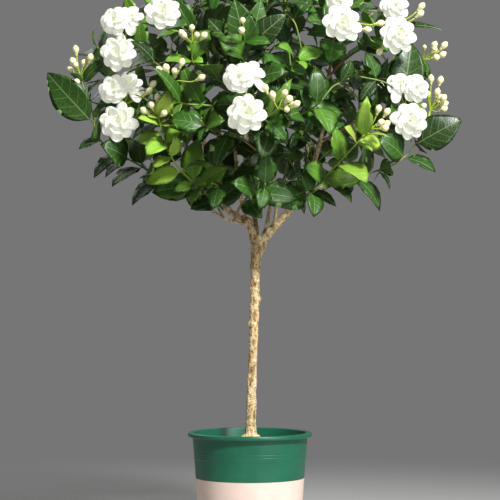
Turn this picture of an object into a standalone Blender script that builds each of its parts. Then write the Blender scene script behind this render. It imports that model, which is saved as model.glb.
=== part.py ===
"""A potted jasmine grown as a small standard tree: a green nursery pot, its soil, a woody trunk with limbs
and twigs, leafy shoots that end in bud clusters, and double white blooms.

Metres, +Z up, origin at the middle of the pot's flat base. The viewer stands at -Y.
Every shoot and bloom stands end to end on what carries it, GAP away, and leaves grow clear of each other.
"""

import math
from collections import namedtuple

import bmesh
import bpy
import numpy as np
from mathutils import Matrix, Vector
from mathutils.bvhtree import BVHTree

MM = 0.001
GAP = 0.3 * MM
SHARP_ANGLE = 50

# Pot: a thin moulded cone with a flat overhanging rim.
POT_HEIGHT = 0.180
POT_BASE_RADIUS = 0.0755
POT_BODY_RADIUS = 0.0880
POT_RIM_RADIUS = 0.0950
POT_RIM_HEIGHT = 0.0065
POT_WALL = 0.0024
POT_FLOOR = 0.0040
POT_STEP_HEIGHT = 0.140
POT_STEP = 0.0007
POT_SIDES = 32
DRAIN_HOLES = 6
DRAIN_RADIUS = 0.0060
DRAIN_CIRCLE = 0.052

# Soil: fills the pot to a little under the rim and rises towards the trunk.
SOIL_LEVEL = 0.161
SOIL_MOUND = 0.0045
SOIL_LUMP = 0.0012

# Trunk: route and radii in millimetres, from the root in the soil, over the flare at the soil's top, to the
# knot that the limbs leave from.
TRUNK_ROUTE = ((0, 0, 112), (0, 0, 150), (0.5, 0, 166), (1, 0, 175), (1.5, 0, 200), (3, 0, 250), (5, 0, 306),
               (6, 0, 345), (7, 0, 383), (8, 0, 425), (10, 0, 450), (12, 0, 468), (13, 0, 480))
TRUNK_RADII = (10.0, 10.0, 14.0, 9.2, 7.9, 7.3, 6.7, 6.9, 7.4, 7.2, 8.4, 9.6, 6.0)
TRUNK_SIDES = 10
ROOT_RADIUS = 0.010
ROOT_DEPTH = 0.112
FLARE_RADIUS = 0.014

CURVE_STEP = 0.003
CROWN_CENTRE = (0.004, 0.0, 0.700)

# Limbs: route through points in millimetres, and the radius at the root and at the end in millimetres.
LIMBS = {
    "left": (((9, 0, 458), (3, 3, 488), (-4, 4, 503), (-22, 8, 513), (-36, 10, 524), (-46, 12, 545),
              (-60, 20, 585), (-75, 25, 640), (-85, 20, 705)), 5.6, 2.4),
    "left_low": (((2, 2, 500), (-12, 0, 500), (-38, -14, 507), (-57, -24, 518), (-69, -34, 531)), 2.6, 2.0),
    "right": (((14, 0, 458), (25, -3, 480), (38, -6, 495), (50, -10, 507), (61, -14, 519), (80, -25, 548),
               (100, -25, 600), (115, -15, 660), (120, 0, 725)), 6.2, 2.4),
    "middle": (((16, 1, 466), (26, 8, 498), (30, 12, 522), (35, 14, 548), (36, 10, 600), (30, 0, 660),
                (25, 0, 730), (15, 0, 805)), 3.0, 1.9),
    "back": (((11, 2, 462), (8, 30, 505), (0, 65, 550), (-8, 100, 610), (-5, 112, 680), (0, 95, 760)),
             4.4, 2.2),
    "centre": (((-3, 3, 500), (-14, 0, 540), (-22, -15, 600), (-20, -30, 660), (-12, -25, 740)), 3.4, 2.0),
    "front": (((36, -6, 490), (40, -40, 535), (30, -85, 585), (15, -115, 640)), 3.2, 2.0),
    "right_back": (((48, -10, 504), (75, 20, 550), (90, 60, 610), (95, 75, 690)), 3.4, 2.0),
    "left_back": (((-34, 10, 522), (-60, 45, 570), (-80, 75, 630), (-85, 85, 700)), 3.4, 2.0),
}
LIMB_SIDES = 6
LIMB_RING_STEP = 0.050
TWIG_RING_STEP = 0.055
# A twig leaves a limb point that is this much lower than the shoot's end, or counts as further away.
TWIG_RISE = 0.050
TWIG_RISE_COST = 1.6
TWIG_LEAVING = 0.42
TWIG_SWAY = 0.06
END_RUN = 0.22

# Shoots, ends and way points in millimetres. head is what stands on the end, leafy is the green share of
# the way from the limb. A shoot with no way points leaves the nearest lower limb. Each side shoot leaves at
# a share of the green length, for an end of its own.
Shoot = namedtuple("Shoot", "end heading head leafy passed sides", defaults=(0.6, (), ()))
Side = namedtuple("Side", "share end heading head", defaults=("leaf",))
SHOOTS = {
    "low_left": Shoot((-253, -80, 712), (-0.4, -0.3, 0.85), "cyme4", 0.80,
                      ((-69, -34, 531), (-97, -60, 544), (-127, -75, 561), (-161, -90, 580), (-222, -88, 618),
                       (-236, -84, 665))),
    "young_left": Shoot((-134, -152, 649), (-0.1, -0.5, 0.8), "cyme3", 0.74,
                        ((-57, -24, 518), (-80, -92, 550), (-114, -130, 589))),
    "left_cluster": Shoot((-185, -98, 670), (-0.35, -0.9, 0.1), "triple"),
    "left_high_cluster": Shoot((-185, -92, 771), (-0.35, -0.85, 0.15), "triple"),
    "left_crest": Shoot((-124, -130, 791), (-0.2, -0.9, 0.25), "single", 0.55),
    "left_buds_high": Shoot((-83, -165, 750), (-0.1, -0.6, 0.8), "cyme3"),
    "left_buds_mid": Shoot((-112, -172, 694), (-0.2, -0.6, 0.75), "cyme3"),
    "centre_cluster": Shoot((-6, -214, 670), (0.0, -1.0, 0.05), "triple"),
    "centre_buds": Shoot((38, -212, 650), (0.5, -0.6, 0.35), "cyme4"),
    "young_right": Shoot((172, -148, 628), (0.85, -0.3, 0.45), "cyme3", 0.66,
                         ((61, -14, 519), (95, -70, 548), (135, -125, 588))),
    "right_cluster": Shoot((229, -78, 673), (0.35, -0.9, 0.1), "triple_mirrored"),
    "low_right": Shoot((272, -45, 668), (0.6, -0.3, 0.75), "cyme4", 0.78,
                       ((61, -14, 519), (92, -48, 537), (134, -70, 558), (218, -80, 586), (258, -62, 630))),
    "right_high_pair": Shoot((127, -152, 792), (0.2, -0.9, 0.3), "pair", 0.55),
    "right_top_cluster": Shoot((211, -85, 789), (0.3, -0.85, 0.2), "pair"),
    "right_buds": Shoot((262, -40, 745), (0.6, -0.4, 0.65), "cyme4"),
    "low_mid_left": Shoot((-56, -132, 552), (-0.3, -0.8, 0.1), "leaf", 0.7),
    "low_mid": Shoot((22, -172, 548), (0.1, -0.95, 0.1), "leaf", 0.65),
    "low_mid_right": Shoot((104, -116, 548), (0.5, -0.7, 0.3), "leaf", 0.7),
    "mid_left": Shoot((-70, -205, 636), (-0.3, -0.9, 0.2), "leaf"),
    "mid_right": Shoot((104, -192, 668), (0.4, -0.85, 0.3), "leaf"),
    "high_right": Shoot((74, -172, 742), (0.3, -0.8, 0.5), "leaf", 0.7),
    "high_centre": Shoot((-8, -190, 762), (0.0, -0.8, 0.5), "cyme2", 0.7),
    "crest_right": Shoot((66, -130, 846), (0.1, -0.8, 0.5), "single", 0.7),
    "top": Shoot((-22, -30, 918), (-0.1, -0.2, 1.0), "cyme3", 0.75, (),
                 (Side(0.30, (46, 30, 902), (0.5, 0.3, 0.8)),
                  Side(0.45, (-78, -84, 876), (-0.4, -0.6, 0.6)))),
    "top_left_back": Shoot((-125, 62, 866), (-0.4, 0.3, 0.8), "single", 0.75, (),
                           (Side(0.35, (-64, 132, 858), (0.2, 0.8, 0.5)),
                            Side(0.50, (-196, 10, 832), (-0.8, -0.3, 0.5)))),
    "top_right_back": Shoot((120, 70, 866), (0.3, 0.5, 0.8), "single", 0.75, (),
                            (Side(0.35, (58, 138, 856), (-0.2, 0.8, 0.5)),
                             Side(0.50, (192, 24, 830), (0.8, -0.3, 0.5)))),
    "back_cluster": Shoot((4, 205, 742), (0.0, 1.0, 0.1), "pair", 0.75, (),
                          (Side(0.30, (72, 186, 708), (0.5, 0.8, 0.0)),
                           Side(0.45, (-66, 184, 786), (-0.5, 0.7, 0.4)))),
    "back_left": Shoot((-182, 138, 722), (-0.6, 0.8, 0.1), "single", 0.75, (),
                       (Side(0.35, (-146, 146, 796), (-0.3, 0.6, 0.7)),
                        Side(0.25, (-122, 184, 668), (-0.2, 0.9, -0.1)))),
    "back_right": Shoot((192, 128, 735), (0.7, 0.7, 0.1), "single", 0.75, (),
                        (Side(0.35, (148, 146, 804), (0.3, 0.6, 0.7)),
                         Side(0.25, (136, 182, 676), (0.3, 0.9, -0.1)))),
    "back_low_left": Shoot((-112, 160, 580), (-0.5, 0.8, 0.1), "cyme3", 0.66, (),
                           (Side(0.40, (-38, 176, 572), (0.4, 0.8, 0.1)),)),
    "back_low_right": Shoot((108, 162, 584), (0.5, 0.8, 0.1), "cyme3", 0.66, (),
                            (Side(0.40, (44, 186, 620), (-0.4, 0.8, 0.3)),)),
    "side_left": Shoot((-248, 40, 680), (-0.9, 0.1, 0.3), "cyme2", 0.75, (),
                       (Side(0.35, (-232, 62, 762), (-0.6, 0.3, 0.8)),
                        Side(0.30, (-190, 98, 622), (-0.5, 0.8, -0.1)))),
    "side_right": Shoot((250, 52, 676), (0.9, 0.15, 0.3), "cyme2", 0.75, (),
                        (Side(0.35, (238, 66, 758), (0.6, 0.3, 0.8)),
                         Side(0.30, (184, 118, 630), (0.4, 0.9, 0.0)))),
}
SHOOT_RADII = (0.0016, 0.0011)
TWIG_RADIUS = 0.0020
TWIG_SIDES = 4
SPLIT_STEP = 0.002
LEAFLESS_HEAD = 0.010
LEAF_SPACING = 0.038
NODE_HALF = 0.0013
NODES_APART = 0.011
LAST_NODE = 2.6 * NODE_HALF
END_HALF = 0.8 * NODE_HALF

# Chosen leaves: shoot, share of its leafy length, tip in millimetres, width in millimetres, facing.
FRONT = (0.0, -1.0, 0.35)
CHOSEN_LEAVES = (
    ("low_left", 0.18, (-160, -62, 552), 14, (0.2, -0.2, 1.0)),
    ("low_left", 0.36, (-222, -142, 621), 46, (-0.3, -1.0, 0.3)),
    ("low_left", 0.70, (-304, -84, 722), 54, (-0.2, -1.0, 0.1)),
    ("low_left", 0.83, (-204, -116, 694), 18, (0.2, -0.6, 1.0)),
    ("low_left", 0.97, (-216, -96, 736), 22, (0.4, -0.8, 0.7)),
    ("young_left", 0.22, (-112, -118, 541), 21, FRONT),
    ("young_left", 0.22, (-64, -120, 551), 20, FRONT),
    ("young_left", 0.40, (-55, -138, 580), 20, (0.1, -0.7, 0.9)),
    ("young_left", 0.58, (-142, -150, 573), 22, (-0.3, -0.9, 0.6)),
    ("young_left", 0.58, (-108, -158, 620), 24, (0.5, -1.0, 0.0)),
    ("young_left", 0.72, (-150, -168, 590), 32, (-0.5, -1.0, 0.2)),
    ("young_left", 0.90, (-86, -172, 618), 15, (0.0, -0.6, 1.0)),
    ("young_left", 0.90, (-162, -172, 645), 18, (-0.4, -0.8, 0.6)),
    ("young_left", 0.98, (-116, -178, 684), 27, (0.3, -1.0, 0.1)),
    ("young_right", 0.90, (174, -176, 664), 27, (0.0, -1.0, 0.1)),
    ("young_right", 0.90, (200, -170, 618), 14, (0.1, -0.5, 1.0)),
    ("low_right", 0.60, (190, -112, 622), 44, (0.2, -1.0, 0.3)),
    ("low_right", 0.60, (196, -60, 560), 17, (0.0, -0.4, 1.0)),
    ("low_right", 0.72, (312, -84, 652), 54, (0.2, -1.0, 0.2)),
    ("centre_buds", 0.60, (59, -208, 694), 22, (0.3, -1.0, 0.3)),
    ("right_top_cluster", 0.70, (290, -84, 788), 15, (0.1, -0.6, 1.0)),
    ("low_mid_right", 0.35, (128, -100, 520), 22, (0.3, -0.8, 0.5)),
    ("left_buds_mid", 0.60, (-135, -211, 710), 22, (0.2, -1.0, 0.3)),
)

# Leaves by rule: an ovate blade on a short stalk, widest a little below its middle.
SEED = 12
LEAF_LENGTH = 0.055
SMALL_LEAF_LENGTH = 0.036
LEAF_WIDTH_SHARE = 0.64
LEAF_THICKNESS = 0.0013
LEAF_FOLD = 0.22
LEAF_ARCH = 0.09
LEAF_LEAN = 0.55
LEAF_POWERS = (0.62, 0.95)
LEAF_ROOT = 0.001
LEAF_CLEARANCE = 0.0010
STALK_RADIUS = 0.0012
STALK_SHARE = 0.09
LEAF_TRIES = 9
TRY_STEP = 0.0022
LEAVES_APART = 0.5
# No leaf by rule hangs lower than this, so that the fork stays in view.
CROWN_SKIRT = 0.503
OUTWARD_SHARE = 0.25
SHORT_LEAF = 0.041
LONG_LEAF = 0.066
LEAF_ROWS = (0.28, 0.68)
SHORT_LEAF_ROWS = (0.40,)
LONG_LEAF_ROWS = (0.20, 0.50, 0.80)

# Buds and blooms.
BUD_LENGTH = 0.0145
BUD_RADIUS = 0.0037
BUD_STALK = 0.0165
BUD_WIDEST = 0.55
BUD_STALK_RADIUS = 0.0010
SEAT_RADIUS = 0.0012
BLOOM_SIDES = 6
TUBE_LENGTH = 0.0085
THROAT_RADIUS = 0.0018
MOUTH_RADIUS = 0.0032
HEART_RADIUS = 0.0034
HEART_BAND = 0.0028
PETAL_THICKNESS = 0.0010
PETAL_WIDTH_SHARE = 0.46
# Petal rows: share of the petal's reach, share of its width, share of its thickness, and how far its edges
# stand above its middle.
PETAL_ROWS = ((0.66, 1.0, 1.0, 0.0014), (1.0, 0.55, 0.0, 0.0006))
# Bloom forms: radius, then for the outer and the inner whorl: length share, lift in degrees, curl, and a
# petal on every how manyeth face.
BLOOM_FORMS = {
    "rosette": (0.0185, (0.98, 22, 0.35, 1), (0.74, 50, 0.25, 2)),
    "open": (0.0262, (1.00, 6, 0.05, 1), (0.66, 36, 0.30, 2)),
    "side": (0.0150, (0.98, 26, 0.20, 1), (0.62, 56, 0.10, 3)),
}
# Where each bloom of a head stands: form, then its offset from the shoot's end to the right, up and ahead in
# millimetres, then its tilt to the right and up.
HEADS = {
    "triple": (("side", (6, 27, -1), (0.40, 0.40)), ("rosette", (-9, 20, 14), (-0.12, 0.10)),
               ("open", (1, -28, 10), (0.0, -0.1))),
    "pair": (("open", (0, -20, 10), (0.0, -0.05)), ("rosette", (0, 24, 10), (0.0, 0.2))),
    "single": (("open", (0, 4, 8), (0.0, 0.1)),),
}

COLOURS = {
    "pot": ((0.020, 0.165, 0.085), 0.42),
    "soil": ((0.045, 0.028, 0.018), 0.95),
    "trunk": ((0.52, 0.40, 0.22), 0.85),
    "shoot": ((0.035, 0.130, 0.020), 0.35),
    "bloom": ((0.86, 0.87, 0.80), 0.55),
}


def unit(v):
    """The vector, or each row of an array of them, at length one."""
    v = np.asarray(v, float)
    return v / np.linalg.norm(v, axis=-1, keepdims=True)


def square_to(v, axis):
    """The part of v that is at right angles to the unit axis, at length one."""
    return unit(np.asarray(v, float) - np.dot(v, axis) * np.asarray(axis))


def draws(*key):
    """Eight seeded numbers from -1 to 1 that depend on the key alone."""
    return np.random.default_rng([SEED, *key]).uniform(-1, 1, 8)


def curve_through(points):
    """A dense smooth curve: on each span the cubic that leaves and enters along its neighbours' chord."""
    p = np.asarray(points, float)
    p = np.vstack([2 * p[0] - p[1], p, 2 * p[-1] - p[-2]])
    rows = []
    for a, b, c, d in zip(p, p[1:], p[2:], p[3:]):
        count = max(2, round(np.linalg.norm(c - b) / CURVE_STEP))
        t = np.linspace(0, 1, count, endpoint=False)[:, None]
        square, cube = 2 * a - 5 * b + 4 * c - d, 3 * b - a - 3 * c + d
        rows.append(0.5 * (2 * b + (c - a) * t + square * t**2 + cube * t**3))
    return np.vstack([*rows, p[-2]])


def arc_of(curve):
    """Length along the curve at each of its points."""
    steps = np.linalg.norm(np.diff(curve, axis=0), axis=1)
    return np.concatenate([[0], np.cumsum(steps)])


def at_arc(values, arc, s):
    """Rows of values read at the lengths s along a curve."""
    return np.stack([np.interp(s, arc, column) for column in values.T], axis=-1)


def frames_along(curve):
    """Tangent, side and up at each point. Each side is the last one less what lies along the new tangent."""
    tangent = unit(np.gradient(curve, axis=0))
    side = np.cross(tangent[0], (0, 0, 1)) + (0.001, 0, 0)
    sides = []
    for t in tangent:
        side = square_to(side, t)
        sides.append(side)
    sides = np.array(sides)
    return tangent, sides, np.cross(tangent, sides)


def limb_curves():
    return {name: curve_through(np.array(route) * MM) for name, (route, _, _) in LIMBS.items()}


def nearest_lower(limbs, end):
    """The limb point nearest to end, where a point that isn't well below it counts as further away."""
    points = np.vstack([curve[len(curve) // 3:] for curve in limbs.values()])
    short = np.maximum(0, points[:, 2] + TWIG_RISE - end[2])
    return points[np.argmin(np.linalg.norm(points - end, axis=1) + TWIG_RISE_COST * short)]


def bent_way(start, leaving, end, heading):
    """A curve that leaves start one way, for its first two fifths, and reaches end along heading."""
    reach = np.linalg.norm(end - start)
    return curve_through([start, start + leaving, end - unit(heading) * END_RUN * reach, end])


def way_of(index, shoot, limbs):
    """The whole curve of a twig and its shoot, from the limb to the shoot's end."""
    end = np.array(shoot.end) * MM
    if shoot.passed:
        return curve_through([*(np.array(shoot.passed) * MM), end])
    start = nearest_lower(limbs, end)
    reach = np.linalg.norm(end - start)
    sway = (draws(index, 90)[:3] + (0, 0, 1)) * TWIG_SWAY * reach
    return bent_way(start, TWIG_LEAVING * (end - start) + sway, end, shoot.heading)


def stem_plan(index, name, shoot, leafy):
    """A green stem: its curve with frames along it, its leaf nodes and what its end carries."""
    tangent, side, up = frames_along(leafy)
    arc = arc_of(leafy)
    return {"name": name, "index": index, "heading": shoot.heading, "head": shoot.head, "curve": leafy,
            "arc": arc, "tangent": tangent, "side": side, "up": up, "nodes": leaf_nodes(name, arc[-1]),
            "leaves": {}, "sides": {}}


def shoot_plan(index, name, limbs):
    """The shoot's green stem, with its side shoots, and the woody part of the way that carries it."""
    shoot = SHOOTS[name]
    way = way_of(index, shoot, limbs)
    arc = arc_of(way)
    split = arc[-1] * (1 - shoot.leafy)
    steps = np.arange(0, arc[-1] - split - GAP, SPLIT_STEP)
    plan = stem_plan(index, name, shoot, at_arc(way, arc, np.append(split + GAP + steps, arc[-1])))
    plan["woody"] = at_arc(way, arc, np.append(np.arange(0, split - SPLIT_STEP / 2, SPLIT_STEP), split))
    for k, side in enumerate(shoot.sides):
        add_side(plan, index + 100 * (k + 1), side)
    return plan


def add_side(plan, index, shoot):
    """A side shoot from the free face, of the node nearest to its share, that looks most towards its end."""
    share = shoot.share * plan["arc"][-1]
    order = min(range(len(plan["nodes"])), key=lambda k: abs(plan["nodes"][k] - share))
    centre, tangent, side, up = place_on(plan, plan["nodes"][order])
    end = np.array(shoot.end) * MM
    ways = face_ways(side, up)
    free = [face for face in range(4) if (order, face) not in plan["sides"]]
    face = max(free, key=lambda k: ways[k] @ (end - centre))
    reach = np.linalg.norm(end - centre)
    start = centre + ways[face] * SHOOT_RADII[0]
    leaving = 0.30 * (end - start) + (0.10 * tangent + 0.12 * ways[face]) * reach
    curve = bent_way(start, leaving, end, shoot.heading)
    plan["sides"][order, face] = stem_plan(index, plan["name"], shoot, curve)


def leaf_nodes(name, length):
    """Arc lengths of the leaf nodes: the chosen ones, and evenly spaced ones that keep clear of them."""
    chosen = sorted({share * length for shoot, share, *_ in CHOSEN_LEAVES if shoot == name})
    tip = length - LEAFLESS_HEAD
    count = max(2, round(tip / LEAF_SPACING))
    spaced = [tip * (j + 0.6) / count for j in range(count)]
    chosen = [min(s, length - LAST_NODE) for s in chosen]
    clear = [s for s in spaced if all(abs(s - c) > NODES_APART for c in chosen)]
    return sorted(chosen + clear)


def place_on(plan, s):
    """Centre, tangent, side and up of the shoot at arc length s."""
    keys = ("curve", "tangent", "side", "up")
    centre, tangent, side, up = (at_arc(plan[key], plan["arc"], s) for key in keys)
    return centre, unit(tangent), unit(side), unit(up)


def face_ways(side, up):
    """The four directions that the faces of a four-sided stem look in."""
    return [up, -side, -up, side]


def leaf_shape(base, tip, width, facing):
    """What fixes a leaf: base, tip, normal, half width and length."""
    base, tip = np.asarray(base), np.asarray(tip)
    length = np.linalg.norm(tip - base)
    return {"base": base, "tip": tip, "normal": square_to(facing, (tip - base) / length),
            "half": width / 2, "length": length}


def chosen_leaves(plan, s):
    """The chosen leaves at this node, each on the free face that looks most its way."""
    centre, _, side, up = place_on(plan, s)
    ways, taken, found = face_ways(side, up), set(), []
    for shoot, share, tip, width, facing in CHOSEN_LEAVES:
        at = min(share * plan["arc"][-1], plan["arc"][-1] - LAST_NODE)
        if shoot != plan["name"] or abs(at - s) > 1e-9:
            continue
        tip = np.array(tip) * MM
        turn = unit(tip - centre)
        face = max((k for k in range(4) if k not in taken), key=lambda k: ways[k] @ turn)
        taken.add(face)
        base = centre + ways[face] * LEAF_ROOT
        moves = [draws(plan["index"], 60, face, k)[:3] * TRY_STEP * k for k in range(LEAF_TRIES)]
        found.append((face, [leaf_shape(base, tip + move, width * MM, facing) for move in moves]))
    return found


def ruled_leaves(plan, s, order, faces, size):
    """Leaves by rule on the given faces of a node, each as the list of shapes that it tries in turn."""
    centre, tangent, side, up = place_on(plan, s)
    ways = face_ways(side, up)
    share = s / plan["arc"][-1]
    outward = unit(centre - np.array(CROWN_CENTRE))
    found = []
    for face in faces:
        tries = []
        for k in range(LEAF_TRIES):
            a, b, c, d, e, f, _, _ = draws(plan["index"], order, face, k)
            swing = min(1.0, 0.25 + 0.12 * k)
            across = np.cross(tangent, ways[face])
            way = unit(ways[face] + LEAF_LEAN * (1 + a * swing) * tangent + swing * b * across
                       + (0, 0, -0.12 + 0.15 * c * swing))
            length = size * (1.12 - 0.42 * share**2) * (1 + 0.16 * d) * (1 - 0.035 * k)
            facing = 0.45 * tangent + 0.75 * outward + (0.15 * e, 0.15 * f, 0.55)
            width = length * LEAF_WIDTH_SHARE * (1 + 0.1 * c)
            base = centre + ways[face] * LEAF_ROOT
            tries.append(leaf_shape(base, base + way * length, width, facing))
        found.append((face, tries))
    return found


def outline(v):
    """Half width of a leaf, as a share of its widest, at share v of the blade: it rises fast from the stalk
    and thins slowly to a pointed tip."""
    rise, fall = LEAF_POWERS
    widest = rise / (rise + fall)
    v = np.asarray(v)
    return (v / widest) ** rise * ((1 - v) / (1 - widest)) ** fall


def leaf_rib(leaf, u):
    """Point on the rib at share u from base to tip: the straight line, raised in the middle by the arch."""
    u = np.asarray(u)[..., None]
    return leaf["base"] + (leaf["tip"] - leaf["base"]) * u + leaf["normal"] * (
        leaf["length"] * LEAF_ARCH * 4 * u * (1 - u))


def leaf_rings(leaf, thickness=LEAF_THICKNESS, extra=0.0, shares=None):
    """Rings of four corners: rib above, left edge, rib below, right edge. The edges stand above the rib."""
    if not shares:
        shares = LONG_LEAF_ROWS if leaf["length"] > LONG_LEAF else LEAF_ROWS
        shares = SHORT_LEAF_ROWS if leaf["length"] < SHORT_LEAF else shares
    left = np.cross(leaf_way(leaf), leaf["normal"])
    rings = []
    for v in shares:
        rib = leaf_rib(leaf, STALK_SHARE + (1 - STALK_SHARE) * v)
        half = leaf["half"] * outline(v) + extra
        edge = rib + leaf["normal"] * half * LEAF_FOLD
        above = leaf["normal"] * thickness / 2
        rings.append(np.array([rib + above, edge + left * half, rib - above, edge - left * half]))
    return rings


def spread_frame(heading):
    """Right, up and ahead for a flower head that looks along heading."""
    ahead = unit(heading)
    right = unit(np.cross((0, 0, 1), ahead)) if abs(ahead[2]) < 0.97 else np.array([1.0, 0, 0])
    return right, np.cross(ahead, right), ahead


def bloom_plans(plan):
    """Form, seat point, axis and the shoot's face of each bloom on this shoot."""
    head, _, mirror = plan["head"].partition("_")
    mirrored = -1 if mirror else 1
    right, up, ahead = spread_frame(plan["heading"])
    tip = plan["curve"][-1]
    found = []
    for form, (across, high, forward), (tilt, lift) in HEADS.get(head, ()):
        axis = unit(ahead + right * tilt * mirrored + up * lift)
        seat = tip + (right * across * mirrored + up * high + ahead * forward) * MM
        found.append({"form": form, "seat": seat, "axis": axis})
    return found


def bud_plans(plan):
    """Root way, stalk end and tip of each bud of the shoot's cyme: one ahead, the others fanned round it."""
    head = plan["head"]
    if not head.startswith("cyme"):
        return []
    ahead = unit(plan["heading"])
    _, _, side, up = place_on(plan, plan["arc"][-1])
    ways = face_ways(side, up)
    found = []
    for k in range(int(head[-1])):
        a, b, c, d, *_ = draws(plan["index"], 70, k)
        if k == 0:
            way = unit(ahead + (0.15 * a, 0.15 * b, 0.1))
        else:
            way = unit(ahead + ways[k - 1] * (0.75 + 0.15 * a) + (0, 0, 0.15 + 0.1 * b))
        size = 1 + 0.14 * c - 0.06 * k
        found.append({"face": k - 1, "way": way, "stalk": BUD_STALK * (1 + 0.25 * d), "size": size})
    return found


def cleared_scene():
    for obj in list(bpy.data.objects):
        bpy.data.objects.remove(obj)


def material(name):
    colour, roughness = COLOURS[name]
    made = bpy.data.materials.get(name) or bpy.data.materials.new(name)
    made.use_nodes = True
    shader = made.node_tree.nodes["Principled BSDF"]
    shader.inputs["Base Color"].default_value = (*colour, 1)
    shader.inputs["Roughness"].default_value = roughness
    shader.inputs["Metallic"].default_value = 0
    return made


def add_object(name, bm, look):
    """Turns a bmesh into an object with outward faces, and gives it its material."""
    bmesh.ops.recalc_face_normals(bm, faces=bm.faces)
    mesh = bpy.data.meshes.new(name)
    bm.to_mesh(mesh)
    bm.free()
    mesh.materials.append(material(look))
    obj = bpy.data.objects.new(name, mesh)
    bpy.context.scene.collection.objects.link(obj)
    return obj


def lathe(name, profile, sides, look):
    """Turns an outline of (radius, height) points, whose first and last are on the axis, about Z."""
    bm = bmesh.new()
    rings = []
    for r, z in profile:
        angles = [2 * math.pi * k / sides for k in range(sides)] if r else [0.0]
        rings.append([bm.verts.new((r * math.cos(a), r * math.sin(a), z)) for a in angles])
    for low, high in zip(rings, rings[1:]):
        for k in range(sides):
            pairs = ((low, k), (low, k + 1), (high, k + 1), (high, k))
            bm.faces.new(dict.fromkeys(ring[at % len(ring)] for ring, at in pairs))
    return add_object(name, bm, look)


def wall_radius(height):
    """Outer radius of the pot's body at a height."""
    return POT_BASE_RADIUS + (POT_BODY_RADIUS - POT_BASE_RADIUS) * height / (POT_HEIGHT - POT_RIM_HEIGHT)


def build_pot():
    """The pot's shell: flat floor, cone wall with one moulded step, and the flat rim that overhangs it. Six
    drain holes go through the floor."""
    under_rim = POT_HEIGHT - POT_RIM_HEIGHT
    profile = [
        (0, 0), (wall_radius(0) - POT_STEP, 0), (wall_radius(POT_STEP_HEIGHT) - POT_STEP, POT_STEP_HEIGHT),
        (wall_radius(POT_STEP_HEIGHT), POT_STEP_HEIGHT + POT_STEP),
        (wall_radius(under_rim), under_rim + 0.002),
        (POT_RIM_RADIUS - 0.0008, under_rim), (POT_RIM_RADIUS, under_rim + 0.0012),
        (POT_RIM_RADIUS, POT_HEIGHT - 0.001), (POT_RIM_RADIUS - 0.001, POT_HEIGHT),
        (wall_radius(POT_HEIGHT) - POT_WALL, POT_HEIGHT),
        (wall_radius(POT_FLOOR) - POT_WALL - POT_STEP, POT_FLOOR), (0, POT_FLOOR),
    ]
    pot = lathe("pot", profile, POT_SIDES, "pot")
    bm = bmesh.new()
    for k in range(DRAIN_HOLES):
        angle = 2 * math.pi * (k + 0.5) / DRAIN_HOLES
        x, y = DRAIN_CIRCLE * math.cos(angle), DRAIN_CIRCLE * math.sin(angle)
        place = Matrix.Translation((x, y, POT_FLOOR / 2))
        bmesh.ops.create_cone(bm, cap_ends=True, segments=8, radius1=DRAIN_RADIUS, radius2=DRAIN_RADIUS,
                              depth=4 * POT_FLOOR, matrix=place)
    drains = add_object("drains", bm, "pot")
    cut = pot.modifiers.new("drain_holes", "BOOLEAN")
    cut.operation = "DIFFERENCE"
    cut.object = drains
    apply_modifiers(pot)
    bpy.data.objects.remove(drains)
    shade_round(pot)


def build_soil():
    """Soil body with a blind hole that the trunk's root stands in, and a lumpy top."""
    round_gap = 1.6 * GAP
    inner = POT_WALL + POT_STEP + round_gap
    hole = ROOT_RADIUS + round_gap
    flare = FLARE_RADIUS + round_gap
    top = SOIL_LEVEL + SOIL_MOUND
    profile = [
        (0, POT_FLOOR + GAP), (wall_radius(POT_FLOOR) - inner, POT_FLOOR + GAP),
        (wall_radius(SOIL_LEVEL) - inner, SOIL_LEVEL), (0.062, SOIL_LEVEL + 0.1 * SOIL_MOUND),
        (0.036, SOIL_LEVEL + 0.6 * SOIL_MOUND), (flare, top), (hole, 0.150 - GAP),
        (hole, ROOT_DEPTH - GAP), (0, ROOT_DEPTH - GAP),
    ]
    soil = lathe("soil", profile, POT_SIDES, "soil")
    for vertex in soil.data.vertices:
        x, y, z = vertex.co
        if 0.020 < math.hypot(x, y) < 0.070 and z > 0.155:
            vertex.co.z += SOIL_LUMP * (math.sin(431 * x + 2) * math.cos(377 * y) + math.sin(263 * (x + y)))
    shade_round(soil)


def ring_points(centre, side, up, radius, sides):
    """Corners of a regular ring, half a step off the side direction."""
    angle = 2 * np.pi * (np.arange(sides) + 0.5) / sides
    return centre + radius * (np.cos(angle)[:, None] * side + np.sin(angle)[:, None] * up)


def tube(curve, radii, sides, step):
    """A closed tube along a curve as a bmesh; the radius runs evenly through radii."""
    arc = arc_of(curve)
    tangent, side, up = frames_along(curve)
    count = max(2, round(arc[-1] / step) + 1)
    stops = np.linspace(0, arc[-1], count)
    radius = np.interp(stops / arc[-1], np.linspace(0, 1, len(radii)), radii)
    bm = bmesh.new()
    rings = []
    for s, r in zip(stops, radius):
        centre, sideways, upward = (at_arc(values, arc, s) for values in (curve, side, up))
        rings.append([bm.verts.new(p) for p in ring_points(centre, unit(sideways), unit(upward), r, sides)])
    for low, high in zip(rings, rings[1:]):
        for k in range(sides):
            bm.faces.new((low[k], low[(k + 1) % sides], high[(k + 1) % sides], high[k]))
    bm.faces.new(rings[0][::-1])
    bm.faces.new(rings[-1])
    return bm


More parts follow.
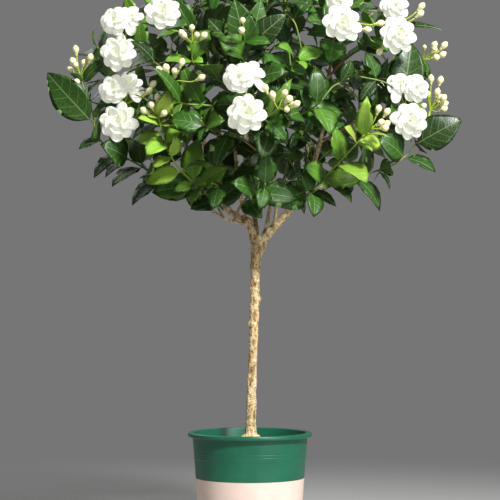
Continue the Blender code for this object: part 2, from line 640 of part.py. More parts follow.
def build_trunk(limbs, plans):
    """Trunk, limbs and twigs joined as the one woody body that they grew as."""
    route = np.array(TRUNK_ROUTE) * MM
    bm = bmesh.new()
    east, north, _ = np.eye(3)
    rings = [[bm.verts.new(p) for p in ring_points(centre, east, north, radius * MM, TRUNK_SIDES)]
             for centre, radius in zip(route, TRUNK_RADII)]
    for low, high in zip(rings, rings[1:]):
        for k in range(TRUNK_SIDES):
            bm.faces.new((low[k], low[(k + 1) % TRUNK_SIDES], high[(k + 1) % TRUNK_SIDES], high[k]))
    bm.faces.new(rings[0][::-1])
    bm.faces.new(rings[-1])
    trunk = add_object("trunk", bm, "trunk")
    grown = bpy.data.collections.new("limbs_and_twigs")
    bpy.context.scene.collection.children.link(grown)
    for name, (_, thick, thin) in LIMBS.items():
        grow(grown, f"limb_{name}", tube(limbs[name], (thick * MM, thin * MM), LIMB_SIDES, LIMB_RING_STEP))
    for plan in plans:
        radii = (TWIG_RADIUS * 1.1, TWIG_RADIUS)
        grow(grown, f"twig_{plan['name']}", tube(plan["woody"], radii, TWIG_SIDES, TWIG_RING_STEP))
    joined = trunk.modifiers.new("grown_together", "BOOLEAN")
    joined.operation = "UNION"
    joined.operand_type = "COLLECTION"
    joined.collection = grown
    apply_modifiers(trunk)
    for obj in list(grown.objects):
        bpy.data.objects.remove(obj)
    bpy.data.collections.remove(grown)
    shade_round(trunk)
    return trunk


def grow(collection, name, bm):
    obj = add_object(name, bm, "trunk")
    bpy.context.scene.collection.objects.unlink(obj)
    collection.objects.link(obj)


def shade_round(obj):
    """Smooth shading that keeps the sharp edges sharp."""
    obj.data.shade_smooth()
    obj.data.set_sharp_from_angle(angle=math.radians(SHARP_ANGLE))


def apply_modifiers(obj):
    graph = bpy.context.evaluated_depsgraph_get()
    graph.update()
    mesh = bpy.data.meshes.new_from_object(obj.evaluated_get(graph))
    obj.modifiers.clear()
    obj.data = mesh


class Space:
    """What already stands in the crown, so that a new leaf can grow clear of it."""

    def __init__(self):
        self.trees, self.lows, self.highs = [], [], []

    def add(self, points, faces):
        points = np.asarray(points, float)
        self.trees.append(BVHTree.FromPolygons([Vector(p) for p in points], [tuple(f) for f in faces]))
        self.lows.append(points.min(0))
        self.highs.append(points.max(0))

    def add_object(self, obj):
        points = [obj.matrix_world @ v.co for v in obj.data.vertices]
        self.add(points, [p.vertices for p in obj.data.polygons])

    def is_clear(self, points, faces):
        points = np.asarray(points, float)
        low, high = points.min(0), points.max(0)
        near = np.all((np.array(self.lows) < high) & (np.array(self.highs) > low), axis=1)
        tree = BVHTree.FromPolygons([Vector(p) for p in points], [tuple(f) for f in faces])
        return not any(self.trees[k].overlap(tree) for k in np.flatnonzero(near))


def ring_faces(count, pointed):
    """Triangles of a chain of four-cornered rings, closed at its root and by a point or a cap at its end.
    Each diagonal runs from an edge corner to a rib corner, so a blade is split alike above and below."""
    faces = [(0, 3, 2), (0, 2, 1)]
    for n in range(count - 1):
        low, high = 4 * n, 4 * n + 4
        for i in range(4):
            j = (i + 1) % 4
            if i % 2:
                faces += [(low + i, low + j, high + j), (low + i, high + j, high + i)]
            else:
                faces += [(low + i, low + j, high + i), (low + j, high + j, high + i)]
    last = 4 * count - 4
    if pointed:
        faces += [(last + i, last + (i + 1) % 4, last + 4) for i in range(4)]
    else:
        faces += [(last, last + 1, last + 2), (last, last + 2, last + 3)]
    return faces


def best_turn(corners, ring):
    """How many corners to skip so that the rest lie nearest to the ring's."""
    offsets = corners - corners.mean(0)
    flat = unit(ring - ring.mean(0))
    return max(range(4), key=lambda k: np.sum(np.roll(offsets, -k, axis=0) * flat))


def turned_to(root, ring):
    """The root's four corners, in the order that lies nearest to the ring's."""
    turn = best_turn(np.array([v.co for v in root]), ring)
    return [*root[turn:], *root[:turn]]


def extend(bm, root, rings, end):
    """Grows a chain of rings out of the four root corners. end is a point, None for a flat cap, or two
    points for a blunt edge."""
    corners = turned_to(root, rings[0])
    for ring in rings:
        fresh = [bm.verts.new(p) for p in ring]
        for i in range(4):
            j = (i + 1) % 4
            if i % 2:
                bm.faces.new((corners[i], corners[j], fresh[j]))
                bm.faces.new((corners[i], fresh[j], fresh[i]))
            else:
                bm.faces.new((corners[i], corners[j], fresh[i]))
                bm.faces.new((corners[j], fresh[j], fresh[i]))
        corners = fresh
    if end is None:
        bm.faces.new((corners[0], corners[1], corners[2]))
        bm.faces.new((corners[0], corners[2], corners[3]))
    elif len(end) == 2:
        left, right = (bm.verts.new(p) for p in end)
        for rib in (corners[0], corners[2]):
            bm.faces.new((rib, corners[1], left))
            bm.faces.new((rib, left, right))
            bm.faces.new((rib, right, corners[3]))
    else:
        tip = bm.verts.new(end)
        for i in range(4):
            bm.faces.new((corners[i], corners[(i + 1) % 4], tip))


def leaf_test(leaf):
    """The leaf a little thicker and wider than it is, for the test of whether its place is clear. It starts
    just off the stem that the leaf grows from."""
    along = leaf_way(leaf)
    stalk = stalk_ring(leaf["base"] + along * (LEAF_ROOT + STALK_RADIUS / 2), along, STALK_RADIUS)
    rings = leaf_rings(leaf, LEAF_THICKNESS + 2 * LEAF_CLEARANCE, LEAF_CLEARANCE, (0.03, *LEAF_ROWS))
    ordered = np.roll(stalk, -best_turn(stalk, rings[0]), axis=0)
    tip = leaf["tip"] + along * 2 * LEAF_CLEARANCE
    return np.vstack([ordered, *rings, tip]), ring_faces(4, True)


def stalk_ring(centre, way, radius, side=(0.31, 0.17, 0.94)):
    """Four corners round way, the first two on the side that is at right angles to way and side."""
    across = unit(np.cross(way, side))
    return ring_points(centre, across, np.cross(way, across), radius, 4)


def bud_shape(plan, bud):
    """Rings and tip of one bud on its stalk."""
    tip = plan["curve"][-1]
    length = BUD_LENGTH * bud["size"]
    neck = tip + bud["way"] * bud["stalk"]
    widest = neck + bud["way"] * length * BUD_WIDEST
    return [stalk_ring(neck, bud["way"], BUD_STALK_RADIUS),
            stalk_ring(widest, bud["way"], BUD_RADIUS * bud["size"])], neck + bud["way"] * length


def seat_rings(plan, bloom):
    """The bloom's stalk: it bends half way and ends flat, square to the bloom's axis."""
    tip, axis = plan["curve"][-1], bloom["axis"]
    end = bloom["seat"] - axis * GAP
    elbow = 0.55 * tip + 0.45 * end - axis * 0.12 * np.linalg.norm(end - tip)
    way = unit(end - tip)
    bend = np.cross(np.cross(way, axis), way)
    return [stalk_ring(elbow, way, BUD_STALK_RADIUS, bend), stalk_ring(end, axis, SEAT_RADIUS, -way)]


def end_faces(plan):
    """What grows from the shoot's last node: (face or -1 for the end, rings, end) for each bud or stalk."""
    _, _, side, up = place_on(plan, plan["arc"][-1])
    ways = face_ways(side, up)
    grown = [(bud["face"], *bud_shape(plan, bud)) for bud in bud_plans(plan)]
    taken = set()
    for bloom in bloom_plans(plan):
        way = unit(bloom["seat"] - plan["curve"][-1])
        choices = [(-1, plan["tangent"][-1]), *enumerate(ways)]
        face = max((c for c in choices if c[0] not in taken), key=lambda c: c[1] @ way)[0]
        taken.add(face)
        grown.append((face, seat_rings(plan, bloom), None))
    return grown


def stem_rings(plan):
    """Pairs of rings along the shoot, one pair for each node and a last pair at its end."""
    length = plan["arc"][-1]
    stops = [(s - NODE_HALF, s + NODE_HALF) for s in plan["nodes"]]
    stops.append((length - 2 * END_HALF, length))
    if stops[-2][1] > stops[-1][0] - GAP:
        last = stops[-1][0] - 2 * GAP
        stops[-2] = (last - 2 * NODE_HALF, last)
    rings = []
    for pair in [(0.0,), *stops]:
        row = []
        for s in pair:
            centre, _, side, up = place_on(plan, s)
            radius = np.interp(s / length, (0, 1), SHOOT_RADII)
            row.append(ring_points(centre, side, up, radius, 4))
        rings.append(row)
    return rings


def add_stem(space, plan):
    """Enters the bare stem, its stalks and its buds among what leaves keep clear of."""
    rings = [ring for row in stem_rings(plan) for ring in row]
    space.add(np.vstack(rings), ring_faces(len(rings), False))
    for _, chain, end in end_faces(plan):
        tip = plan["curve"][-1]
        chain = [stalk_ring(tip, unit(chain[0].mean(0) - tip), BUD_STALK_RADIUS), *chain]
        points = chain if end is None else [*chain, end]
        space.add(np.vstack(points), ring_faces(len(chain), end is not None))
    for side in plan["sides"].values():
        add_stem(space, side)


def place_leaves(space, plans):
    """Gives every node its leaves, each at its first clear try: first all chosen ones, then the opposite
    pairs, each turned a quarter from the last, then the small leaves of the buds between a pair, where they
    look out of the crown."""
    stems = [*plans, *(side for plan in plans for side in plan["sides"].values())]
    for plan in plans:
        for order, s in enumerate(plan["nodes"]):
            for face, tries in chosen_leaves(plan, s):
                settle(space, plan, (order, face), tries)
    for size, turn in ((LEAF_LENGTH, 0), (SMALL_LEAF_LENGTH, 1)):
        for plan in stems:
            for order, s in enumerate(plan["nodes"]):
                first = (order + plan["index"] + turn) % 2
                taken = {*plan["leaves"], *plan["sides"]}
                free = [face for face in (first, first + 2) if (order, face) not in taken
                        and (not turn or looks_out(plan, s, face))]
                for face, tries in ruled_leaves(plan, s, order, free, size):
                    high = [leaf for leaf in tries if leaf["tip"][2] > CROWN_SKIRT]
                    settle(space, plan, (order, face), high)


def looks_out(plan, s, face):
    centre, _, side, up = place_on(plan, s)
    return face_ways(side, up)[face] @ unit(centre - np.array(CROWN_CENTRE)) > OUTWARD_SHARE


def leaf_way(leaf):
    return unit(leaf["tip"] - leaf["base"])


def settle(space, plan, key, tries):
    """Keeps the first leaf that stands clear of all else, and well apart from others on its own node."""
    beside = [leaf_way(leaf) for (order, _), leaf in plan["leaves"].items() if order == key[0]]
    for leaf in tries:
        points, faces = leaf_test(leaf)
        if all(leaf_way(leaf) @ way < LEAVES_APART for way in beside) and space.is_clear(points, faces):
            space.add(points, faces)
            plan["leaves"][key] = leaf
            return


def grow_stem(bm, plan, last):
    """Grows a four-sided stem on from four corners, and draws the faces of its nodes and its end out into
    leaves, side shoots, buds and bloom stalks."""
    pairs = stem_rings(plan)[1:]
    ends = {face: (rings, end) for face, rings, end in end_faces(plan)}
    for order, (low_ring, high_ring) in enumerate(pairs):
        low = [bm.verts.new(p) for p in low_ring]
        high = [bm.verts.new(p) for p in high_ring]
        at_end = order == len(pairs) - 1
        for k in range(4):
            j = (k + 1) % 4
            bm.faces.new((last[k], last[j], low[j], low[k]))
            root = (low[k], low[j], high[j], high[k])
            if at_end and k in ends:
                extend(bm, root, *ends[k])
            elif not at_end and (order, k) in plan["leaves"]:
                leaf = plan["leaves"][order, k]
                extend(bm, root, leaf_rings(leaf), leaf["tip"])
            elif not at_end and (order, k) in plan["sides"]:
                side = plan["sides"][order, k]
                grow_stem(bm, side, turned_to(root, stem_rings(side)[1][0]))
            else:
                bm.faces.new(root)
        last = high
    if -1 in ends:
        extend(bm, last, *ends[-1])
    else:
        bm.faces.new(last)


def build_shoot(plan):
    """One shoot with its leaves, side shoots, buds and stalks, as one body."""
    bm = bmesh.new()
    base = [bm.verts.new(p) for p in stem_rings(plan)[0][0]]
    bm.faces.new(base[::-1])
    grow_stem(bm, plan, base)
    bmesh.ops.triangulate(bm, faces=[f for f in bm.faces if len(f.verts) > 3])
    return add_object(f"shoot_{plan['name']}", bm, "shoot")


def petal(root_middle, seat, axis, size, lift, curl, width, wedge):
    """One ring and a blunt end of a petal. It leaves at the lift angle and curls up by its reach squared.
    wedge, times its distance from the bloom's axis, caps its half width, so that the petals of a whorl stay
    clear of each other."""
    out = square_to(root_middle - seat, axis)
    across = np.cross(out, axis)
    made = []
    for u, wide, thick, raised in PETAL_ROWS:
        middle = root_middle + size * (out * math.cos(lift) * u + axis * (math.sin(lift) * u + curl * u * u))
        slope = math.atan2(math.sin(lift) + 2 * curl * u, math.cos(lift))
        normal = axis * math.cos(slope) - out * math.sin(slope)
        edge = middle + normal * raised
        half = min(width * wide, wedge * ((edge - seat) @ out) - GAP)
        above = normal * thick * PETAL_THICKNESS / 2
        made.append((middle + above, edge + across * half, middle - above, edge - across * half))
    ring, end = made
    return [np.array(ring)], (end[1], end[3])


def build_bloom(name, bloom):
    """A double bloom: a tube that widens, two whorls of petals drawn out of its faces, a pointed heart."""
    radius, *whorls = BLOOM_FORMS[bloom["form"]]
    axis = bloom["axis"]
    side = unit(np.cross(axis, (0.2, 0.1, 0.97)) + 1e-6)
    up = np.cross(axis, side)
    half_step = math.pi / BLOOM_SIDES
    bm = bmesh.new()

    def ring(height, r, turn=0.0):
        s, u = math.cos(turn) * side + math.sin(turn) * up, math.cos(turn) * up - math.sin(turn) * side
        points = ring_points(bloom["seat"] + axis * height, s, u, r, BLOOM_SIDES)
        return [bm.verts.new(p) for p in points]

    top = TUBE_LENGTH
    low = [ring(0, SEAT_RADIUS), ring(top - 0.002, THROAT_RADIUS), ring(top + 0.0006, MOUTH_RADIUS)]
    high = [ring(top + 0.0022, HEART_RADIUS, half_step),
            ring(top + 0.0022 + HEART_BAND, MOUTH_RADIUS, half_step)]
    bm.faces.new(low[0][::-1])
    for k in range(BLOOM_SIDES):
        j = (k + 1) % BLOOM_SIDES
        bm.faces.new((low[0][k], low[0][j], low[1][j], low[1][k]))
        bm.faces.new((low[2][k], low[2][j], high[0][k]))
        bm.faces.new((low[2][j], high[0][j], high[0][k]))
    heart = bm.verts.new(bloom["seat"] + axis * (top + 2 * HEART_BAND + 0.22 * radius))
    for k in range(BLOOM_SIDES):
        bm.faces.new((high[1][k], high[1][(k + 1) % BLOOM_SIDES], heart))
    for (below, above), (share, lift, curl, every) in zip(((low[1], low[2]), high), whorls):
        for k in range(BLOOM_SIDES):
            j = (k + 1) % BLOOM_SIDES
            root = (below[k], below[j], above[j], above[k])
            if k % every:
                bm.faces.new(root)
                continue
            middle = sum(np.array(v.co) for v in root) / 4
            wedge = 0.97 * math.tan(half_step * every)
            extend(bm, root, *petal(middle, bloom["seat"], axis, radius * share, math.radians(lift),
                                    curl * share, PETAL_WIDTH_SHARE * radius, wedge))
    bmesh.ops.triangulate(bm, faces=[f for f in bm.faces if len(f.verts) > 3])
    return add_object(name, bm, "bloom")


def main():
    cleared_scene()
    limbs = limb_curves()
    plans = [shoot_plan(index, name, limbs) for index, name in enumerate(SHOOTS)]
    build_pot()
    build_soil()
    space = Space()
    space.add_object(build_trunk(limbs, plans))
    for plan in plans:
        for bloom in bloom_plans(plan):
            space.add_object(build_bloom(f"bloom_{plan['name']}_{bloom['form']}", bloom))
    for plan in plans:
        add_stem(space, plan)
    place_leaves(space, plans)
    for plan in plans:
        build_shoot(plan)


main()
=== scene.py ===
"""The looks of a potted jasmine grown as a small standard tree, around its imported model.

Leaves, stems, buds, blooms, bark, soil and pot are finer pieces that keep the form of the nodes they replace.
The plan of the crown repeats the rule that the solids were grown by. Which of its places each leaf took is
read from the solids: a leaf stands where its tip is a corner of the node.
Metres, +Z up, origin at the middle of the pot's flat base. The viewer stands at -Y.
"""

import math
from collections import namedtuple
from functools import partial
from itertools import islice

import bpy
import numpy as np
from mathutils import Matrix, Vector
from mathutils.kdtree import KDTree


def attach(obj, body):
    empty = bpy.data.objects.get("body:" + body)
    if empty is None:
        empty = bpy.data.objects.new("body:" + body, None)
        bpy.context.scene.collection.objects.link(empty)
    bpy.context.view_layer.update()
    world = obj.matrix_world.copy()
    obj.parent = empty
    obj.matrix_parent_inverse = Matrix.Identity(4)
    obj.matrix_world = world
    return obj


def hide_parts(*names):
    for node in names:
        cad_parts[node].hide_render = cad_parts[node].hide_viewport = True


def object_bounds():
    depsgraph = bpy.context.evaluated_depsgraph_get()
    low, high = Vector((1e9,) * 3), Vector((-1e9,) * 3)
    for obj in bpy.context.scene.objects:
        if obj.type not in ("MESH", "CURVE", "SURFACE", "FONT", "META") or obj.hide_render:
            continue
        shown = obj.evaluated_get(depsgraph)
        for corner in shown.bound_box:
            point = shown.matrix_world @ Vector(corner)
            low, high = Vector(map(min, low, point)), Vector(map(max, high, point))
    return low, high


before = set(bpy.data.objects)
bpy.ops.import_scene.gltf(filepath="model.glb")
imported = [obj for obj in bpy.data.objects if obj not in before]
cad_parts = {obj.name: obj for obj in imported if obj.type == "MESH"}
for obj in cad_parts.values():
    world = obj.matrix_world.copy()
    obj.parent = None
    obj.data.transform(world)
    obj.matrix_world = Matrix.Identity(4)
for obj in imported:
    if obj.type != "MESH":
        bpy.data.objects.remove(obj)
CAD_BOX = [list(corner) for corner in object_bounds()]

bl_info = {
    "name": "Potted Jasmine",
    "version": (1, 0, 0),
    "blender": (4, 5, 0),
    "location": "3D View > Sidebar > Jasmine",
    "description": "Dresses a potted jasmine tree with leaves, blooms, bark, soil and a moulded pot",
    "category": "Add Mesh",
}

MM = 0.001
GAP = 0.3 * MM

# Pot and soil, as the solids have them.
POT_HEIGHT = 0.180
POT_BASE_RADIUS = 0.0755
POT_BODY_RADIUS = 0.0880
POT_RIM_RADIUS = 0.0950
POT_RIM_HEIGHT = 0.0065
POT_WALL = 0.0024
POT_FLOOR = 0.0040
POT_STEP_HEIGHT = 0.140
POT_STEP = 0.0007
DRAIN_HOLES = 6
DRAIN_RADIUS = 0.0060
DRAIN_CIRCLE = 0.052
SOIL_LEVEL = 0.161
SOIL_MOUND = 0.0045

# Trunk: route and radii in millimetres, from the root to the knot that the limbs leave from.
TRUNK_ROUTE = ((0, 0, 112), (0, 0, 150), (0.5, 0, 166), (1, 0, 175), (1.5, 0, 200), (3, 0, 250), (5, 0, 306),
               (6, 0, 345), (7, 0, 383), (8, 0, 425), (10, 0, 450), (12, 0, 468), (13, 0, 480))
TRUNK_RADII = (10.0, 10.0, 14.0, 9.2, 7.9, 7.3, 6.7, 6.9, 7.4, 7.2, 8.4, 9.6, 6.0)
CURVE_STEP = 0.003
CROWN_CENTRE = (0.004, 0.0, 0.700)

# Limbs: route through points in millimetres, and the radius at the root and at the end in millimetres.
LIMBS = {
    "left": (((9, 0, 458), (3, 3, 488), (-4, 4, 503), (-22, 8, 513), (-36, 10, 524), (-46, 12, 545),
              (-60, 20, 585), (-75, 25, 640), (-85, 20, 705)), 5.6, 2.4),
    "left_low": (((2, 2, 500), (-12, 0, 500), (-38, -14, 507), (-57, -24, 518), (-69, -34, 531)), 2.6, 2.0),
    "right": (((14, 0, 458), (25, -3, 480), (38, -6, 495), (50, -10, 507), (61, -14, 519), (80, -25, 548),
               (100, -25, 600), (115, -15, 660), (120, 0, 725)), 6.2, 2.4),
    "middle": (((16, 1, 466), (26, 8, 498), (30, 12, 522), (35, 14, 548), (36, 10, 600), (30, 0, 660),
                (25, 0, 730), (15, 0, 805)), 3.0, 1.9),
    "back": (((11, 2, 462), (8, 30, 505), (0, 65, 550), (-8, 100, 610), (-5, 112, 680), (0, 95, 760)),
             4.4, 2.2),
    "centre": (((-3, 3, 500), (-14, 0, 540), (-22, -15, 600), (-20, -30, 660), (-12, -25, 740)), 3.4, 2.0),
    "front": (((36, -6, 490), (40, -40, 535), (30, -85, 585), (15, -115, 640)), 3.2, 2.0),
    "right_back": (((48, -10, 504), (75, 20, 550), (90, 60, 610), (95, 75, 690)), 3.4, 2.0),
    "left_back": (((-34, 10, 522), (-60, 45, 570), (-80, 75, 630), (-85, 85, 700)), 3.4, 2.0),
}
# Knots on the wood: place and radius in millimetres, at the root flare, the fork and the limb ends.
KNOTS = ((-6, -5, 168, 9), (9, -4, 168, 9.5), (1, -8, 167, 8.5), (13, -3, 462, 10.8), (6, 0, 459, 5.5),
         (19, -2, 464, 5.5), (-4, 2, 503, 7), (-21, 7, 513, 6), (-34, 9, 523, 6), (-41, 9, 533, 5.5),
         (38, -6, 496, 6.5), (4, -2, 345, 7.2), (9, 0, 383, 7.6))
# A twig leaves a limb point that is this much lower than the shoot's end, or counts as further away.
TWIG_RISE = 0.050
TWIG_RISE_COST = 1.6
TWIG_LEAVING = 0.42
TWIG_SWAY = 0.06
END_RUN = 0.22

# Shoots, ends and way points in millimetres. head is what stands on the end, leafy is the green share of
# the way from the limb. A shoot with no way points leaves the nearest lower limb. Each side shoot leaves at
# a share of the green length, for an end of its own.
Shoot = namedtuple("Shoot", "end heading head leafy passed sides", defaults=(0.6, (), ()))
Side = namedtuple("Side", "share end heading head", defaults=("leaf",))
SHOOTS = {
    "low_left": Shoot((-253, -80, 712), (-0.4, -0.3, 0.85), "cyme4", 0.80,
                      ((-69, -34, 531), (-97, -60, 544), (-127, -75, 561), (-161, -90, 580), (-222, -88, 618),
                       (-236, -84, 665))),
    "young_left": Shoot((-134, -152, 649), (-0.1, -0.5, 0.8), "cyme3", 0.74,
                        ((-57, -24, 518), (-80, -92, 550), (-114, -130, 589))),
    "left_cluster": Shoot((-185, -98, 670), (-0.35, -0.9, 0.1), "triple"),
    "left_high_cluster": Shoot((-185, -92, 771), (-0.35, -0.85, 0.15), "triple"),
    "left_crest": Shoot((-124, -130, 791), (-0.2, -0.9, 0.25), "single", 0.55),
    "left_buds_high": Shoot((-83, -165, 750), (-0.1, -0.6, 0.8), "cyme3"),
    "left_buds_mid": Shoot((-112, -172, 694), (-0.2, -0.6, 0.75), "cyme3"),
    "centre_cluster": Shoot((-6, -214, 670), (0.0, -1.0, 0.05), "triple"),
    "centre_buds": Shoot((38, -212, 650), (0.5, -0.6, 0.35), "cyme4"),
    "young_right": Shoot((172, -148, 628), (0.85, -0.3, 0.45), "cyme3", 0.66,
                         ((61, -14, 519), (95, -70, 548), (135, -125, 588))),
    "right_cluster": Shoot((229, -78, 673), (0.35, -0.9, 0.1), "triple_mirrored"),
    "low_right": Shoot((272, -45, 668), (0.6, -0.3, 0.75), "cyme4", 0.78,
                       ((61, -14, 519), (92, -48, 537), (134, -70, 558), (218, -80, 586), (258, -62, 630))),
    "right_high_pair": Shoot((127, -152, 792), (0.2, -0.9, 0.3), "pair", 0.55),
    "right_top_cluster": Shoot((211, -85, 789), (0.3, -0.85, 0.2), "pair"),
    "right_buds": Shoot((262, -40, 745), (0.6, -0.4, 0.65), "cyme4"),
    "low_mid_left": Shoot((-56, -132, 552), (-0.3, -0.8, 0.1), "leaf", 0.7),
    "low_mid": Shoot((22, -172, 548), (0.1, -0.95, 0.1), "leaf", 0.65),
    "low_mid_right": Shoot((104, -116, 548), (0.5, -0.7, 0.3), "leaf", 0.7),
    "mid_left": Shoot((-70, -205, 636), (-0.3, -0.9, 0.2), "leaf"),
    "mid_right": Shoot((104, -192, 668), (0.4, -0.85, 0.3), "leaf"),
    "high_right": Shoot((74, -172, 742), (0.3, -0.8, 0.5), "leaf", 0.7),
    "high_centre": Shoot((-8, -190, 762), (0.0, -0.8, 0.5), "cyme2", 0.7),
    "crest_right": Shoot((66, -130, 846), (0.1, -0.8, 0.5), "single", 0.7),
    "top": Shoot((-22, -30, 918), (-0.1, -0.2, 1.0), "cyme3", 0.75, (),
                 (Side(0.30, (46, 30, 902), (0.5, 0.3, 0.8)),
                  Side(0.45, (-78, -84, 876), (-0.4, -0.6, 0.6)))),
    "top_left_back": Shoot((-125, 62, 866), (-0.4, 0.3, 0.8), "single", 0.75, (),
                           (Side(0.35, (-64, 132, 858), (0.2, 0.8, 0.5)),
                            Side(0.50, (-196, 10, 832), (-0.8, -0.3, 0.5)))),
    "top_right_back": Shoot((120, 70, 866), (0.3, 0.5, 0.8), "single", 0.75, (),
                            (Side(0.35, (58, 138, 856), (-0.2, 0.8, 0.5)),
                             Side(0.50, (192, 24, 830), (0.8, -0.3, 0.5)))),
    "back_cluster": Shoot((4, 205, 742), (0.0, 1.0, 0.1), "pair", 0.75, (),
                          (Side(0.30, (72, 186, 708), (0.5, 0.8, 0.0)),
                           Side(0.45, (-66, 184, 786), (-0.5, 0.7, 0.4)))),
    "back_left": Shoot((-182, 138, 722), (-0.6, 0.8, 0.1), "single", 0.75, (),
                       (Side(0.35, (-146, 146, 796), (-0.3, 0.6, 0.7)),
                        Side(0.25, (-122, 184, 668), (-0.2, 0.9, -0.1)))),
    "back_right": Shoot((192, 128, 735), (0.7, 0.7, 0.1), "single", 0.75, (),
                        (Side(0.35, (148, 146, 804), (0.3, 0.6, 0.7)),
                         Side(0.25, (136, 182, 676), (0.3, 0.9, -0.1)))),
    "back_low_left": Shoot((-112, 160, 580), (-0.5, 0.8, 0.1), "cyme3", 0.66, (),
                           (Side(0.40, (-38, 176, 572), (0.4, 0.8, 0.1)),)),
    "back_low_right": Shoot((108, 162, 584), (0.5, 0.8, 0.1), "cyme3", 0.66, (),
                            (Side(0.40, (44, 186, 620), (-0.4, 0.8, 0.3)),)),
    "side_left": Shoot((-248, 40, 680), (-0.9, 0.1, 0.3), "cyme2", 0.75, (),
                       (Side(0.35, (-232, 62, 762), (-0.6, 0.3, 0.8)),
                        Side(0.30, (-190, 98, 622), (-0.5, 0.8, -0.1)))),
    "side_right": Shoot((250, 52, 676), (0.9, 0.15, 0.3), "cyme2", 0.75, (),
                        (Side(0.35, (238, 66, 758), (0.6, 0.3, 0.8)),
                         Side(0.30, (184, 118, 630), (0.4, 0.9, 0.0)))),
}
SHOOT_RADII = (0.0016, 0.0011)
TWIG_RADIUS = 0.0020
SPLIT_STEP = 0.002
LEAFLESS_HEAD = 0.010
LEAF_SPACING = 0.038
NODE_HALF = 0.0013
NODES_APART = 0.011
LAST_NODE = 2.6 * NODE_HALF

# Chosen leaves: shoot, share of its leafy length, tip in millimetres, width in millimetres, facing.
FRONT = (0.0, -1.0, 0.35)
CHOSEN_LEAVES = (
    ("low_left", 0.18, (-160, -62, 552), 14, (0.2, -0.2, 1.0)),
    ("low_left", 0.36, (-222, -142, 621), 46, (-0.3, -1.0, 0.3)),
    ("low_left", 0.70, (-304, -84, 722), 54, (-0.2, -1.0, 0.1)),
    ("low_left", 0.83, (-204, -116, 694), 18, (0.2, -0.6, 1.0)),
    ("low_left", 0.97, (-216, -96, 736), 22, (0.4, -0.8, 0.7)),
    ("young_left", 0.22, (-112, -118, 541), 21, FRONT),
    ("young_left", 0.22, (-64, -120, 551), 20, FRONT),
    ("young_left", 0.40, (-55, -138, 580), 20, (0.1, -0.7, 0.9)),
    ("young_left", 0.58, (-142, -150, 573), 22, (-0.3, -0.9, 0.6)),
    ("young_left", 0.58, (-108, -158, 620), 24, (0.5, -1.0, 0.0)),
    ("young_left", 0.72, (-150, -168, 590), 32, (-0.5, -1.0, 0.2)),
    ("young_left", 0.90, (-86, -172, 618), 15, (0.0, -0.6, 1.0)),
    ("young_left", 0.90, (-162, -172, 645), 18, (-0.4, -0.8, 0.6)),
    ("young_left", 0.98, (-116, -178, 684), 27, (0.3, -1.0, 0.1)),
    ("young_right", 0.90, (174, -176, 664), 27, (0.0, -1.0, 0.1)),
    ("young_right", 0.90, (200, -170, 618), 14, (0.1, -0.5, 1.0)),
    ("low_right", 0.60, (190, -112, 622), 44, (0.2, -1.0, 0.3)),
    ("low_right", 0.60, (196, -60, 560), 17, (0.0, -0.4, 1.0)),
    ("low_right", 0.72, (312, -84, 652), 54, (0.2, -1.0, 0.2)),
    ("centre_buds", 0.60, (59, -208, 694), 22, (0.3, -1.0, 0.3)),
    ("right_top_cluster", 0.70, (290, -84, 788), 15, (0.1, -0.6, 1.0)),
    ("low_mid_right", 0.35, (128, -100, 520), 22, (0.3, -0.8, 0.5)),
    ("left_buds_mid", 0.60, (-135, -211, 710), 22, (0.2, -1.0, 0.3)),
)

# Leaves by rule.
SEED = 12
LEAF_LENGTH = 0.055
SMALL_LEAF_LENGTH = 0.036
LEAF_WIDTH_SHARE = 0.64
LEAF_FOLD = 0.22
LEAF_ARCH = 0.09
LEAF_LEAN = 0.55
LEAF_POWERS = (0.62, 0.95)
LEAF_ROOT = 0.001
STALK_SHARE = 0.09
# Leaves turn their faces this far to the light. Their ribs stay where the solids have them.
LIGHT_TURN = np.array([0.15, -0.45, 0.10])
LEAF_TRIES = 9
TRY_STEP = 0.0022
TIP_MATCH = 0.05 * MM

# Buds and blooms, as the solids have them.
BUD_LENGTH = 0.0145
BUD_STALK = 0.0165
TUBE_LENGTH = 0.0085
BLOOM_RADII = {"rosette": 0.0185, "open": 0.0262, "side": 0.0150}
# Where each bloom of a head stands: form, then its offset from the shoot's end to the right, up and ahead in
# millimetres, then its tilt to the right and up.
HEADS = {
    "triple": (("side", (6, 27, -1), (0.40, 0.40)), ("rosette", (-9, 20, 14), (-0.12, 0.10)),
               ("open", (1, -28, 10), (0.0, -0.1))),
    "pair": (("open", (0, -20, 10), (0.0, -0.05)), ("rosette", (0, 24, 10), (0.0, 0.2))),
    "single": (("open", (0, 4, 8), (0.0, 0.1)),),
}
# How far the petals of each form turn from their stalk's axis to the front, where the light is.
FRONT_TURNS = {"open": 0.7, "rosette": 0.8, "side": 0.15}

FURTHER_BUD_LENGTH = 0.0165
# Buds that the solids leave out: the middle of each, in millimetres.
FURTHER_BUDS = {
    "low_left": ((-259, -92, 753), (-238, -92, 741), (-257, -92, 706)),
    "left_buds_mid": ((-98, -184, 720), (-129, -184, 709), (-71, -184, 699)),
    "left_buds_high": ((-67, -177, 760), (-97, -177, 763)),
    "young_left": ((-152, -164, 654), (-141, -164, 661), (-125, -164, 650)),
    "centre_buds": ((22, -224, 678), (32, -224, 668), (64, -224, 656)),
    "young_right": ((185, -160, 656), (197, -160, 652), (196, -160, 635)),
    "right_buds": ((278, -52, 766), (293, -52, 766), (290, -52, 752)),
    "low_right": ((273, -57, 714), (287, -57, 712), (282, -57, 694), (291, -57, 685), (291, -57, 669),
                  (270, -57, 654)),
    "left_cluster": ((-150, -110, 689), (-144, -110, 699)),
    "right_top_cluster": ((254, -97, 817), (252, -97, 806), (193, -97, 751)),
    "right_high_pair": ((168, -164, 772), (187, -164, 781)),
}
